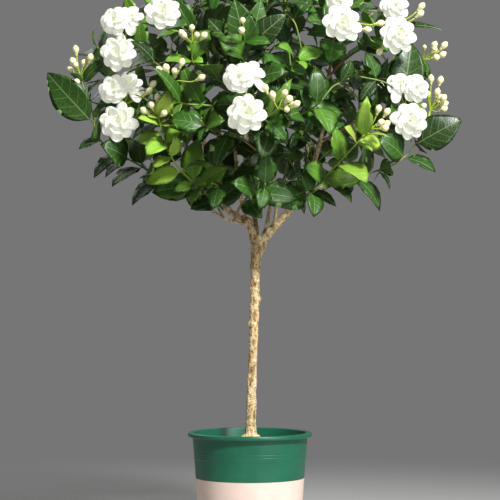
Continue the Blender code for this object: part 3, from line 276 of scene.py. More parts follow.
# Leaves that the solids leave out: shoot, share of its leafy length, tip and width in millimetres, facing.
FURTHER_LEAVES = (
    ("right_cluster", 0.85, (244, -58, 770), 58, (0.1, -1.0, 0.15)),
    ("high_centre", 0.56, (-22, -186, 812), 50, (0.1, -1.0, 0.15)),
    ("high_centre", 0.52, (-60, -176, 786), 44, (-0.2, -1.0, 0.15)),
    ("high_centre", 0.60, (-44, -190, 754), 42, (-0.1, -1.0, 0.1)),
    ("high_centre", 0.60, (16, -182, 812), 42, (0.3, -1.0, 0.15)),
    ("high_centre", 0.66, (52, -180, 792), 40, (0.2, -1.0, 0.15)),
)

# How fresh the leaves of a shoot are, from 0 for old and dark to 1 for young and yellow-green.
FRESH = {"young_left": 0.82, "young_right": 0.82, "left_buds_mid": 0.60, "left_buds_high": 0.55,
         "right_top_cluster": 0.55, "left_crest": 0.50, "right_buds": 0.50, "top": 0.50,
         "top_left_back": 0.50, "top_right_back": 0.50, "crest_right": 0.45, "high_right": 0.45,
         "centre_buds": 0.40, "left_cluster": 0.35, "left_high_cluster": 0.35, "high_centre": 0.34,
         "low_left": 0.18, "low_right": 0.12}
FRESH_ELSEWHERE = 0.32
FRESH_INSIDE = 0.12
# Large leaves are older ones, which are only this share as fresh.
OLD_SHARE = 0.3

# Further foliage, which the solids leave out: leaves between the nodes of their shoots, and whole side shoots
# that fill the crown. The crown ends at its radii, and below at a skirt that rises with the distance squared.
BETWEEN_LENGTH = 0.044
BETWEEN_GAP = 0.022
FILL_SHOOTS = 74
FILL_PLACES = 30
FILL_LEAF_LENGTH = 0.050
FILL_SPACING = 0.023
FILL_BARE = 0.30
FILL_LAST = 0.98
FILL_NEAR = 0.055
FILL_RISE = 0.03
# Their draws are keyed from these numbers on, so that they share none with the leaves of the solids.
BETWEEN_FIRST = 40
FILL_FIRST = 1000
CROWN_RADII = (0.272, 0.222, 0.222)
SKIRT_LEVEL = 0.538
SKIRT_RISE = 1.9
SKIRT_CLEAR = 0.02
LEAF_BOX = (np.array(CAD_BOX[0]) + 0.004, np.array(CAD_BOX[1]) - 0.004)
LEAVES_CLEAR = 0.0065
LEAF_SAMPLES = np.array([(u, w) for u in (0.15, 0.35, 0.55, 0.75, 1.0) for w in (-0.8, 0.0, 0.8)])
# Room that is kept free: how far ahead of a flower or leaf, where the middle of a bloom and of a cyme is, the
# radius round a bloom and over a chosen leaf as shares of their size, and that round one bud and a cyme.
SIGHT_REACH = 0.09
BLOOM_MIDDLE = 0.008
CYME_MIDDLE = 0.02
BLOOM_ROOM = 1.05
LEAF_ROOM = 0.42
BUD_ROOM = 0.010
CYME_ROOM = 0.024

# Blades: the shares of a leaf's length that have a row of points. The net between the veins starts to show on
# leaves of one length and is full at another.
LEAF_ROW_SHARES = (0.0, 0.07, 0.11, 0.18, 0.30, 0.46, 0.64, 0.82)
LARGE_LEAF_ROW_SHARES = (0.0, 0.06, 0.10, 0.15, 0.22, 0.30, 0.39, 0.48, 0.57, 0.66, 0.75, 0.84, 0.93)
LARGE_LEAF = 0.072
LEAF_DROOP = 0.05
NET_STARTS = 0.045
NET_FULL = 0.075
STEM_STEP = 0.004
STEM_SIDES = 7
# Material numbers: 0 and 1 are the leaf's two sides on a leafy piece, and 0 is the petal on a flowering one.
STEM_LOOK = 2
CALYX_LOOK = 1

# A calyx and its stalk: the stalk's radii, how deep the flower sits, and the calyx's radius at its foot and
# at its mouth, its height and its teeth's height.
Calyx = namedtuple("Calyx", "stalk sunk foot mouth height teeth")
BUD_CALYX = Calyx((0.0008, 0.0010), 0.0006, 0.0010, 0.0021, 0.0030, 0.0032)
FURTHER_CALYX = BUD_CALYX._replace(teeth=0.0040)
BLOOM_CALYX = Calyx((0.0009, 0.0011), 0.0008, 0.0011, 0.0024, 0.0032, 0.0040)
CALYX_SIDES = 14
BUD_SIDES = 15
BUD_TWIST = 2.5
STALK_SIDES = 6
TUBE_SIDES = 10

PETAL_ROW_SHARES = (0.0, 0.20, 0.42, 0.62, 0.78, 0.89, 0.96)
PETAL_COLUMNS = 4
PETAL_WIDEST = 0.66
PETAL_ROLL = 0.28
# Bloom whorls, from the outer one in: petals, length and half width as shares of the bloom's radius, lift and
# curl in radians, cup, how pointed the petals are, and the height that they leave the tube at as a share of
# the radius. A curl below zero bends a petal back, so that a rosette bulges.
WHORLS = {
    "open": ((8, 1.04, 0.39, 0.02, 0.20, 0.26, 0.35, 0.00), (5, 0.78, 0.43, 0.24, 0.30, 0.24, 0.3, 0.14),
             (3, 0.50, 0.44, 0.60, 0.70, 0.40, 0.2, 0.26)),
    "rosette": ((7, 1.10, 0.53, 0.16, -0.40, 0.08, 0.0, 0.00), (6, 0.88, 0.49, 0.30, -0.32, 0.10, 0.0, 0.18),
                (4, 0.62, 0.48, 0.44, -0.14, 0.12, 0.0, 0.34)),
    "side": ((5, 1.14, 0.62, 0.16, -0.05, 0.16, 0.1, 0.00), (3, 0.84, 0.60, 0.46, 0.20, 0.20, 0.1, 0.14)),
}
# The one long petal that hangs from each side bloom.
HANGING_PETAL = (1, 1.95, 0.56, 0.20, -0.25, 0.14, 0.0, 0.00)
# The side that the first petal of a whorl is on, and how far from the axis a petal starts.
FIRST_PETAL = (0.2, 0.1, 0.97)
PETAL_START = 0.0022

# Finer form of the pot, the soil and the wood, in metres.
POT_SIDES = 144
DRAIN_SIDES = 24
GROOVE_REACH = 0.0006
SOIL_SIDES = 96
SOIL_RINGS = 34
SOIL_MOUND_RADIUS = 0.07
SOIL_LUMPS = 0.0022
SOIL_CRUMBS = 0.0012
CHIPS = 420
CHIP_HALF = (0.0042, 0.0024, 0.0011)
CHIP_RISE = 0.0006
TRUNK_SIDES = 24
LIMB_SIDES = 14
KNOT_SIDES = 12
TWIG_SIDES = 10
# Limbs are this much thicker than the solids' all along, and twigs where they start.
LIMB_SWELL = 1.03
TWIG_SWELL = 1.12
# Sizes of the bark's bumps, in metres, and how far the flakes are stretched upwards.
FLAKES = 0.004
FLAKE_STRETCH = (1, 1, 0.3)
GRAINS = 0.0022
SWELLINGS = 0.016
HOLLOWS = 0.007
NOISE_PRIMES = np.array([73856093, 19349663, 83492791])
NOISE_SEED_PRIME = 2654435761

# Lamps: name, place, size of the soft square and power in watts. They look at one point.
LIGHTS = (("key", (1.18, -2.12, 2.52), 0.45, 165), ("fill", (2.1, -2.4, 0.9), 1.2, 30),
          ("back", (-1.6, 2.4, 2.6), 2.0, 22))
LIGHT_TARGET = (0, 0, 0.55)
FLOOR_RADII = (0.6, 2.0, 6.0, 30.0, 60.0, 60.0)
FLOOR_HEIGHTS = (0, 0, 0, 0, 0, -0.01)
FLOOR_SIDES = 48


def unit(v):
    """The vector, or each row of an array of them, at length one."""
    v = np.asarray(v, float)
    return v / np.linalg.norm(v, axis=-1, keepdims=True)


def square_to(v, axis):
    """The part of v that is at right angles to the unit axis, at length one."""
    return unit(np.asarray(v, float) - np.dot(v, axis) * np.asarray(axis))


def draws(*key):
    """Eight seeded numbers from -1 to 1 that depend on the key alone."""
    return np.random.default_rng([SEED, *key]).uniform(-1, 1, 8)


def curve_through(points):
    """A dense smooth curve: on each span the cubic that leaves and enters along its neighbours' chord."""
    p = np.asarray(points, float)
    p = np.vstack([2 * p[0] - p[1], p, 2 * p[-1] - p[-2]])
    rows = []
    for a, b, c, d in zip(p, p[1:], p[2:], p[3:]):
        count = max(2, round(np.linalg.norm(c - b) / CURVE_STEP))
        t = np.linspace(0, 1, count, endpoint=False)[:, None]
        square, cube = 2 * a - 5 * b + 4 * c - d, 3 * b - a - 3 * c + d
        rows.append(0.5 * (2 * b + (c - a) * t + square * t**2 + cube * t**3))
    return np.vstack([*rows, p[-2]])


def arc_of(curve):
    """Length along the curve at each of its points."""
    steps = np.linalg.norm(np.diff(curve, axis=0), axis=1)
    return np.concatenate([[0], np.cumsum(steps)])


def at_arc(values, arc, s):
    """Rows of values read at the lengths s along a curve."""
    return np.stack([np.interp(s, arc, column) for column in values.T], axis=-1)


def frames_along(curve):
    """Tangent, side and up at each point. Each side is the last one less what lies along the new tangent."""
    tangent = unit(np.gradient(curve, axis=0))
    side = np.cross(tangent[0], (0, 0, 1)) + (0.001, 0, 0)
    sides = []
    for t in tangent:
        side = square_to(side, t)
        sides.append(side)
    sides = np.array(sides)
    return tangent, sides, np.cross(tangent, sides)


def nearest_lower(limbs, end):
    """The limb point nearest to end, where a point that isn't well below it counts as further away."""
    points = np.vstack([curve[len(curve) // 3:] for curve in limbs.values()])
    short = np.maximum(0, points[:, 2] + TWIG_RISE - end[2])
    return points[np.argmin(np.linalg.norm(points - end, axis=1) + TWIG_RISE_COST * short)]


def bent_way(start, leaving, end, heading):
    """A curve that leaves start one way, for its first two fifths, and reaches end along heading."""
    reach = np.linalg.norm(end - start)
    return curve_through([start, start + leaving, end - unit(heading) * END_RUN * reach, end])


def way_of(index, shoot, limbs):
    """The whole curve of a twig and its shoot, from the limb to the shoot's end."""
    end = np.array(shoot.end) * MM
    if shoot.passed:
        return curve_through([*(np.array(shoot.passed) * MM), end])
    start = nearest_lower(limbs, end)
    reach = np.linalg.norm(end - start)
    sway = (draws(index, 90)[:3] + (0, 0, 1)) * TWIG_SWAY * reach
    return bent_way(start, TWIG_LEAVING * (end - start) + sway, end, shoot.heading)


def stem_along(curve, **known):
    """A green stem: its curve, with the length and a frame at each point, and what else is known of it."""
    tangent, side, up = frames_along(curve)
    return {"curve": curve, "arc": arc_of(curve), "tangent": tangent, "side": side, "up": up, **known}


def stem_plan(index, name, shoot, leafy):
    """A green stem with its leaf nodes and what its end carries."""
    plan = stem_along(leafy, name=name, index=index, heading=shoot.heading, head=shoot.head, sides={})
    plan["nodes"] = leaf_nodes(name, plan["arc"][-1])
    return plan


def shoot_plan(index, name, limbs):
    """The shoot's green stem, with its side shoots, and the woody part of the way that carries it."""
    shoot = SHOOTS[name]
    way = way_of(index, shoot, limbs)
    arc = arc_of(way)
    split = arc[-1] * (1 - shoot.leafy)
    steps = np.arange(0, arc[-1] - split - GAP, SPLIT_STEP)
    plan = stem_plan(index, name, shoot, at_arc(way, arc, np.append(split + GAP + steps, arc[-1])))
    plan["woody"] = at_arc(way, arc, np.append(np.arange(0, split - SPLIT_STEP / 2, SPLIT_STEP), split))
    for k, side in enumerate(shoot.sides):
        add_side(plan, index + 100 * (k + 1), side)
    return plan


def add_side(plan, index, shoot):
    """A side shoot from the free face, of the node nearest to its share, that looks most towards its end."""
    share = shoot.share * plan["arc"][-1]
    order = min(range(len(plan["nodes"])), key=lambda k: abs(plan["nodes"][k] - share))
    centre, tangent, side, up = place_on(plan, plan["nodes"][order])
    end = np.array(shoot.end) * MM
    ways = face_ways(side, up)
    free = [face for face in range(4) if (order, face) not in plan["sides"]]
    face = max(free, key=lambda k: ways[k] @ (end - centre))
    reach = np.linalg.norm(end - centre)
    start = centre + ways[face] * SHOOT_RADII[0]
    leaving = 0.30 * (end - start) + (0.10 * tangent + 0.12 * ways[face]) * reach
    curve = bent_way(start, leaving, end, shoot.heading)
    plan["sides"][order, face] = stem_plan(index, plan["name"], shoot, curve)


def crown_plans():
    """The curve of each limb, and the plan of every shoot in the order of the table."""
    limbs = {name: curve_through(np.array(route) * MM) for name, (route, _, _) in LIMBS.items()}
    return limbs, [shoot_plan(index, name, limbs) for index, name in enumerate(SHOOTS)]


def leaf_nodes(name, length):
    """Arc lengths of the leaf nodes: the chosen ones, and evenly spaced ones that keep clear of them."""
    chosen = {min(share * length, length - LAST_NODE) for shoot, share, *_ in CHOSEN_LEAVES if shoot == name}
    tip = length - LEAFLESS_HEAD
    count = max(2, round(tip / LEAF_SPACING))
    spaced = [tip * (j + 0.6) / count for j in range(count)]
    return sorted([*chosen, *(s for s in spaced if all(abs(s - c) > NODES_APART for c in chosen))])


def place_on(plan, s):
    """Centre, tangent, side and up of the shoot at arc length s."""
    keys = ("curve", "tangent", "side", "up")
    centre, tangent, side, up = (at_arc(plan[key], plan["arc"], s) for key in keys)
    return centre, unit(tangent), unit(side), unit(up)


def face_ways(side, up):
    """The four directions round a stem that its leaves leave in."""
    return [up, -side, -up, side]


def leaf_shape(base, tip, width, facing):
    """What fixes a leaf: base, tip, normal, half width and length."""
    base, tip = np.asarray(base), np.asarray(tip)
    length = np.linalg.norm(tip - base)
    return {"base": base, "tip": tip, "normal": square_to(facing, (tip - base) / length),
            "half": width / 2, "length": length}


def chosen_leaves(plan, s):
    """The chosen leaves at this node, each on the free face that looks most its way."""
    centre, _, side, up = place_on(plan, s)
    ways, taken, found = face_ways(side, up), set(), []
    for shoot, share, tip, width, facing in CHOSEN_LEAVES:
        at = min(share * plan["arc"][-1], plan["arc"][-1] - LAST_NODE)
        if shoot != plan["name"] or abs(at - s) > 1e-9:
            continue
        tip = np.array(tip) * MM
        turn = unit(tip - centre)
        face = max((k for k in range(4) if k not in taken), key=lambda k: ways[k] @ turn)
        taken.add(face)
        base = centre + ways[face] * LEAF_ROOT
        moves = [draws(plan["index"], 60, face, k)[:3] * TRY_STEP * k for k in range(LEAF_TRIES)]
        found.append((face, [leaf_shape(base, tip + move, width * MM, facing) for move in moves]))
    return found


def ruled_leaves(plan, s, order, faces, size):
    """Leaves by rule on the given faces of a node, each as the list of shapes that it tries in turn."""
    centre, tangent, side, up = place_on(plan, s)
    ways = face_ways(side, up)
    share = s / plan["arc"][-1]
    outward = unit(centre - np.array(CROWN_CENTRE))
    found = []
    for face in faces:
        tries = []
        for k in range(LEAF_TRIES):
            a, b, c, d, e, f, _, _ = draws(plan["index"], order, face, k)
            swing = min(1.0, 0.25 + 0.12 * k)
            across = np.cross(tangent, ways[face])
            way = unit(ways[face] + LEAF_LEAN * (1 + a * swing) * tangent + swing * b * across
                       + (0, 0, -0.12 + 0.15 * c * swing))
            length = size * (1.12 - 0.42 * share**2) * (1 + 0.16 * d) * (1 - 0.035 * k)
            facing = 0.45 * tangent + 0.75 * outward + (0.15 * e, 0.15 * f, 0.55) + LIGHT_TURN
            width = length * LEAF_WIDTH_SHARE * (1 + 0.1 * c)
            base = centre + ways[face] * LEAF_ROOT
            tries.append(leaf_shape(base, base + way * length, width, facing))
        found.append((face, tries))
    return found


def spread_frame(heading):
    """Right, up and ahead for a flower head that looks along heading."""
    ahead = unit(heading)
    right = unit(np.cross((0, 0, 1), ahead)) if abs(ahead[2]) < 0.97 else np.array([1.0, 0, 0])
    return right, np.cross(ahead, right), ahead


def bloom_plans(plan):
    """Form, seat point and axis of each bloom on this shoot, the way that its petals face and hang."""
    head, _, mirrored = plan["head"].partition("_")
    right, up, ahead = spread_frame(plan["heading"])
    right = -right if mirrored else right
    found = []
    for form, (across, high, forward), (tilt, lift) in HEADS.get(head, ()):
        axis = unit(ahead + right * tilt + up * lift)
        seat = plan["curve"][-1] + (right * across + up * high + ahead * forward) * MM
        face = unit(axis - (0, FRONT_TURNS[form] * (axis[1] < 0), 0))
        found.append({"form": form, "seat": seat, "axis": axis, "face": face, "hang": 0.3 * right - up})
    return found


def bud_plans(plan):
    """Way, stalk length and size of each bud of the shoot's cyme: one ahead, the others fanned round it."""
    _, cyme, count = plan["head"].partition("cyme")
    ahead = unit(plan["heading"])
    _, _, side, up = place_on(plan, plan["arc"][-1])
    fan = [(0, 0, 0), *face_ways(side, up)]
    found = []
    for k in range(int(count) if cyme else 0):
        a, b, c, d, *_ = draws(plan["index"], 70, k)
        if k == 0:
            way = unit(ahead + (0.15 * a, 0.15 * b, 0.1))
        else:
            way = unit(ahead + fan[k] * (0.75 + 0.15 * a) + (0, 0, 0.15 + 0.1 * b))
        found.append({"way": way, "stalk": BUD_STALK * (1 + 0.25 * d), "size": 1 + 0.14 * c - 0.06 * k})
    return found


def further_buds(plan):
    """Foot and way of each further bud: it looks away from the shoot's end and a little up."""
    found = []
    for middle in FURTHER_BUDS.get(plan["name"], ()):
        middle = np.array(middle) * MM
        way = unit(unit(middle - plan["curve"][-1]) + (0, 0, 0.35))
        found.append((middle - way * FURTHER_BUD_LENGTH / 2, way))
    return found


def further_leaves(plan):
    """The shoot's leaves from the table of further ones."""
    found = []
    for k, (shoot, share, tip, width, facing) in enumerate(FURTHER_LEAVES):
        if shoot == plan["name"]:
            base = place_on(plan, share * plan["arc"][-1])[0]
            leaf = leaf_shape(base, np.array(tip) * MM, width * MM, facing)
            found.append({**leaf, "share": share, "key": (plan["index"], 70 + k, 0, 1)})
    return found


def stems_of(plan):
    """The shoot's own stem and those of its side shoots."""
    return [plan, *plan["sides"].values()]


def point_tree(points):
    """A tree that finds the nearest of the points."""
    tree = KDTree(len(points))
    for k, point in enumerate(points):
        tree.insert(point, k)
    tree.balance()
    return tree


def grown_leaves(plan):
    """The leaves that the shoot's solid has: of all the places each may take, the one whose tip is there."""
    tree = point_tree([vertex.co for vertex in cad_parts[f"shoot_{plan['name']}"].data.vertices])
    found = []
    for stem in stems_of(plan):
        for order, s in enumerate(stem["nodes"]):
            places = [(1, *place) for place in chosen_leaves(stem, s)] if stem is plan else []
            for turn, size in ((0, LEAF_LENGTH), (1, SMALL_LEAF_LENGTH)):
                first = (order + stem["index"] + turn) % 2
                places += [(0, *place) for place in ruled_leaves(stem, s, order, (first, first + 2), size)]
            for chosen, face, tries in places:
                grown = (leaf for leaf in tries if tree.find(Vector(leaf["tip"]))[2] < TIP_MATCH)
                found += kept_leaf(grown, stem, s, order, face, chosen)
    return found


def kept_leaf(leaves, stem, s, order, face, chosen):
    """The first of the leaves, if there is one, with its share of the stem and the key of its draws."""
    return [{**leaf, "share": s / stem["arc"][-1], "key": (stem["index"], order, face, chosen)}
            for leaf in islice(leaves, 1)]


def leaf_points(leaf):
    """Fifteen places on a leaf's blade, for the tests of what stands clear."""
    along = leaf["tip"] - leaf["base"]
    side = np.cross(along / leaf["length"], leaf["normal"])
    u, w = LEAF_SAMPLES.T
    wide = leaf["half"] * outline(np.clip((u - STALK_SHARE) / (1 - STALK_SHARE), 0, 1)) * w
    arch = LEAF_ARCH * 4 * u * (1 - u) * leaf["length"] + LEAF_FOLD * np.abs(wide)
    return leaf["base"] + u[:, None] * along + wide[:, None] * side + arch[:, None] * leaf["normal"]


class Crown:
    """What stands in the crown already, so that further leaves keep clear of it. Blooms, buds and chosen
    leaves also keep the space that they look into free."""

    def __init__(self, plans, leaves):
        self.points = np.vstack([leaf_points(leaf) for leaf in leaves])
        self.marks = []
        for plan in plans:
            self.marks += [(bloom["seat"] + bloom["axis"] * BLOOM_MIDDLE, bloom["axis"],
                            BLOOM_RADII[bloom["form"]] * BLOOM_ROOM) for bloom in bloom_plans(plan)]
            self.marks += [(foot, (0, -1, 0), BUD_ROOM) for foot, _ in further_buds(plan)]
            if plan["head"].startswith("cyme"):
                middle = plan["curve"][-1] + unit(plan["heading"]) * CYME_MIDDLE
                self.marks.append((middle, (0, -1, 0), CYME_ROOM))
        self.marks += [((leaf["base"] + leaf["tip"]) / 2, leaf["normal"], LEAF_ROOM * leaf["length"])
                       for leaf in leaves if leaf["key"][3]]

    def takes(self, leaf):
        """Whether the leaf stands clear. If it does, it is kept."""
        points = leaf_points(leaf)
        x, y, z = points.T
        low = SKIRT_LEVEL + SKIRT_RISE * (x**2 + y**2)
        if np.any(z < low) or np.any(points < LEAF_BOX[0]) or np.any(points > LEAF_BOX[1]):
            return False
        for centre, axis, radius in self.marks:
            offset = points - centre
            ahead = offset @ np.asarray(axis)
            beside = np.sqrt(np.maximum(0, (offset**2).sum(1) - ahead**2))
            if np.any((beside < radius) & (ahead > -radius * 0.6) & (ahead < SIGHT_REACH)):
                return False
        near = self.points[np.all(np.abs(self.points - points.mean(0)) < leaf["length"], axis=1)]
        if len(near) and np.min(((near[:, None] - points) ** 2).sum(-1)) < LEAVES_CLEAR**2:
            return False
        self.points = np.vstack([self.points, points])
        return True


def first_clear(crown, stem, s, order, size):
    """Leaves on two opposite faces of a stem, each at the first of its tries that the crown has room for."""
    first = (order + stem["index"]) % 2
    found = []
    for face, tries in ruled_leaves(stem, s, order, (first, first + 2), size):
        found += kept_leaf(filter(crown.takes, tries), stem, s, order, face, 0)
    return found


def leaves_between(crown, stem):
    """Pairs of leaves half way between a stem's nodes."""
    stops = [0.0, *stem["nodes"]]
    return [leaf for order, (low, high) in enumerate(zip(stops, stops[1:])) if high - low > BETWEEN_GAP
            for leaf in first_clear(crown, stem, (low + high) / 2, BETWEEN_FIRST + order, BETWEEN_LENGTH)]


def filling_stems(limbs, plans, leaves):
    """Further side shoots. Each ends at the one of its seeded places in the crown that is furthest from every
    leaf and end so far, and starts at the nearest point of wood or stem that is lower."""
    starts = np.vstack([*(curve[len(curve) // 4:] for curve in limbs.values()),
                        *(plan["woody"][::3] for plan in plans),
                        *(stem["curve"][::3] for plan in plans for stem in stems_of(plan))])
    full = np.array([(leaf["base"] + leaf["tip"]) / 2 for leaf in leaves])
    centre = np.array(CROWN_CENTRE)
    found = []
    for k in range(FILL_SHOOTS):
        rng = np.random.default_rng([SEED, 800, k])
        ways = unit(rng.normal(size=(FILL_PLACES, 3)))
        places = centre + ways * CROWN_RADII * (rng.uniform(0.25, 0.92, (FILL_PLACES, 1)) ** 0.6)
        room = np.linalg.norm(places[:, None] - full, axis=2).min(1)
        skirt = SKIRT_LEVEL + SKIRT_CLEAR + SKIRT_RISE * (places[:, :2] ** 2).sum(1)
        end = places[np.argmax(room - 10 * np.maximum(0, skirt - places[:, 2]))]
        reach = np.linalg.norm(starts - end, axis=1)
        high, near = np.maximum(0, (starts[:, 2] + FILL_RISE - end[2], FILL_NEAR - reach))
        start = starts[np.argmin(reach + 1.2 * high + 4 * near)]
        leaving = 0.4 * (end - start) + (0, 0, 0.12 * np.linalg.norm(end - start))
        curve = bent_way(start, leaving, end, unit(end - centre) + (0, 0, 0.35))
        limb = min(limbs, key=lambda name: np.linalg.norm(limbs[name] - start, axis=1).min())
        stem = stem_along(curve, index=FILL_FIRST + k, limb=limb)
        length = stem["arc"][-1]
        count = max(2, round(length * (1 - FILL_BARE) / FILL_SPACING))
        shares = FILL_BARE + (FILL_LAST - FILL_BARE) * np.arange(1, count + 1) / count
        found.append({**stem, "nodes": list(length * shares)})
        full = np.vstack([full, end, (start + end) / 2])
    return found


def linear(code):
    """An sRGB hex colour as linear red, green, blue and an alpha of one."""
    share = [int(code[k:k + 2], 16) / 255 for k in (1, 3, 5)]
    return (*(s / 12.92 if s <= 0.04045 else ((s + 0.055) / 1.055) ** 2.4 for s in share), 1.0)


class Piece:
    """Gathers points and faces of one piece, with a look for each face and named values for each point."""

    def __init__(self):
        self.points, self.quads, self.tris, self.looks, self.uv, self.values = [], [], [], [], [], {}
        self.size = 0

    def add(self, points, quads, tris, look=0, uv=None, **values):
        """Adds one shape, or with points as (copies, points, 3) many that share its faces. look is one
        material number, or the numbers of the quads and then of the triangles."""
        points = np.reshape(points, (-1, *np.shape(points)[-2:]))
        copies, size, _ = points.shape
        starts = self.size + size * np.arange(copies)[:, None, None]
        looks = np.broadcast_to(look, len(quads) + len(tris))
        self.points.append(points.reshape(-1, 3))
        self.quads.append((starts + quads).reshape(-1, 4))
        self.tris.append((starts + tris).reshape(-1, 3))
        self.looks.append((np.tile(looks[:len(quads)], copies), np.tile(looks[len(quads):], copies)))
        self.uv.append(np.zeros((copies * size, 2)) if uv is None else uv.reshape(-1, 2))
        for name in sorted({*values, *self.values}):
            rows = self.values.setdefault(name, [np.zeros(self.size)])
            rows.append(np.broadcast_to(values.get(name, 0.0), (copies, size)).ravel())
        self.size += copies * size

    def make(self, name, materials, replaced=(), slot="leaf"):
        """The finished object, riding on the plant, in place of the nodes that it replaces."""
        quads, tris = np.vstack(self.quads), np.vstack(self.tris)
        mesh = bpy.data.meshes.new(name)
        mesh.from_pydata(np.vstack(self.points), [], [*quads.tolist(), *tris.tolist()])
        looks = np.concatenate([row[0] for row in self.looks] + [row[1] for row in self.looks])
        mesh.polygons.foreach_set("material_index", looks)
        corners = np.concatenate([quads.ravel(), tris.ravel()])
        mesh.uv_layers.new(name="place").data.foreach_set("uv", np.vstack(self.uv)[corners].ravel())
        for key, rows in self.values.items():
            mesh.attributes.new(key, "FLOAT", "POINT").data.foreach_set("value", np.concatenate(rows))
        mesh.shade_smooth()
        for material in materials:
            mesh.materials.append(material)
        obj = bpy.data.objects.new(name, mesh)
        bpy.context.scene.collection.objects.link(obj)
        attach(obj, "root")
        if replaced:
            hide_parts(*replaced)
        return obj


def blade_faces(rows, columns):
    """Faces of one closed blade. Points are an upper grid of rows by columns plus one, a lower grid that
    shares the edges of the upper one, and a tip. Gives quads, triangles, and 1 for each face below."""
    top = np.arange(rows * (columns + 1)).reshape(rows, columns + 1)
    inner = top.size + np.arange(rows * (columns - 1)).reshape(rows, columns - 1)
    low = np.hstack([top[:, :1], inner, top[:, -1:]])
    tip = np.full(columns, top.size + inner.size)
    upper, lower = (np.stack([g[:-1, :-1], g[:-1, 1:], g[1:, 1:], g[1:, :-1]], axis=-1).reshape(-1, 4)
                    for g in (top, low))
    root = np.stack([top[0, 2:-1], top[0, 1:-2], low[0, 1:-2], low[0, 2:-1]], axis=-1)
    ends = [(top[0, 1], top[0, 0], low[0, 1]), (top[0, -1], top[0, -2], low[0, -2])]
    tris = np.vstack([np.stack([top[-1, :-1], top[-1, 1:], tip], axis=-1),
                      np.stack([low[-1, 1:], low[-1, :-1], tip], axis=-1), ends])
    below = np.repeat((0, 1, 0, 1), (len(upper), len(lower) + len(root), columns, columns + 2))
    return np.vstack([upper, lower[:, ::-1], root]), tris, below


def in_blade_order(upper, lower, tip):
    """Rows for the points of closed blades: the upper grid, the lower one less its edges, and the tip."""
    count, size = len(upper), upper.shape[-1]
    return np.concatenate([upper.reshape(count, -1, size), lower[:, :, 1:-1].reshape(count, -1, size),
                           np.broadcast_to(tip, (count, size))[:, None]], axis=1)


def outline(v):
    """Half width of a leaf, as a share of its widest, at share v of the blade: it rises fast from the stalk
    and thins slowly to a pointed tip."""
    rise, fall = LEAF_POWERS
    widest = rise / (rise + fall)
    return (v / widest) ** rise * ((1 - v) / (1 - widest)) ** fall


def add_leaves(piece, leaves, rows, columns, settings):
    """Closed blades on their stalks. Along u the rib is the straight line to the tip, raised by the arch and
    bent down again near the tip. Across w the blade folds up by w to the power 1.4, its edge waves along
    the leaf, and the whole turns a little about the rib. Both skins meet at the edge."""
    if not leaves:
        return
    base, tip, normal = (np.array([leaf[key] for leaf in leaves])[:, None, None]
                         for key in ("base", "tip", "normal"))
    half, length, fresh = (np.array([leaf[key] for leaf in leaves])[:, None, None, None]
                           for key in ("half", "length", "fresh"))
    chance = np.array([draws(*leaf["key"][:3], 31) for leaf in leaves]).T[..., None, None, None]
    turned, drooped, folded, waves, started, shifted, tint, _ = chance
    u = np.array(rows)[:, None, None]
    w = np.linspace(-1, 1, columns + 1)[:, None]
    v = np.clip((u - STALK_SHARE) / (1 - STALK_SHARE), 0, 1)
    along = (tip - base) / length
    left = np.cross(along, normal)
    turn = 0.35 * turned * u
    side = left * np.cos(turn) + normal * np.sin(turn)
    face = normal * np.cos(turn) - left * np.sin(turn)
    wide = settings.stalk_radius + (half - settings.stalk_radius) * outline(v)
    droop = LEAF_DROOP * (1 + drooped)
    rib = base + along * length * u + normal * length * (LEAF_ARCH * 4 * u * (1 - u) - droop * u**4)
    fold = LEAF_FOLD * (0.8 + 0.5 * folded) * np.abs(w) ** 1.4
    wave = settings.wave * length * np.sin(
        2 * np.pi * (2.2 + 0.6 * waves) * v + 3 * started + np.sign(w) * (1 + shifted))
    middle = rib + side * wide * w + face * (wide * fold + wave * w**2 * np.sqrt(v * (1 - v)))
    skin = face * (np.where(v > 0, settings.leaf_thickness, 2 * settings.stalk_radius) / 2 * (1 - w**2))
    place = np.concatenate(np.broadcast_arrays(wide * w / length, u * np.ones_like(w)), axis=-1)
    points = in_blade_order(middle + skin, middle - skin, (tip - normal * length * droop)[:, 0, 0])
    net = np.clip((length - NET_STARTS) / (NET_FULL - NET_STARTS), 0, 1)
    piece.add(points, *blade_faces(len(rows), columns), in_blade_order(place, place, (0.0, 1.0)),
              fresh=fresh[:, 0, 0], tint=tint[:, 0, 0], net=net[:, 0, 0])


def ring_stack_faces(count, sides):
    """Quads between rings, and triangles to a first and a last point."""
    ring = np.arange(count * sides).reshape(count, sides)
    after = np.roll(ring, -1, axis=1)
    quads = np.stack([ring[:-1], after[:-1], after[1:], ring[1:]], axis=-1).reshape(-1, 4)
    ends = np.full((2, sides), [[count * sides], [count * sides + 1]])
    tris = np.stack([(after[0], ring[-1]), (ring[0], after[-1]), ends], axis=-1).reshape(-1, 3)
    return quads, tris


def tube_shape(curve, radius, sides):
    """A closed tube: rings at right angles to the curve, and a point at each end."""
    tangent, side, up = frames_along(curve)
    radius = np.broadcast_to(radius, len(curve))[:, None, None]
    angle = 2 * np.pi * np.arange(sides)[:, None] / sides
    rings = curve[:, None] + radius * (np.cos(angle) * side[:, None] + np.sin(angle) * up[:, None])
    ends = curve[[0, -1]] + tangent[[0, -1]] * radius[[0, -1], 0] * [[-0.4], [0.4]]
    return np.vstack([rings.reshape(-1, 3), ends]), *ring_stack_faces(len(curve), sides)


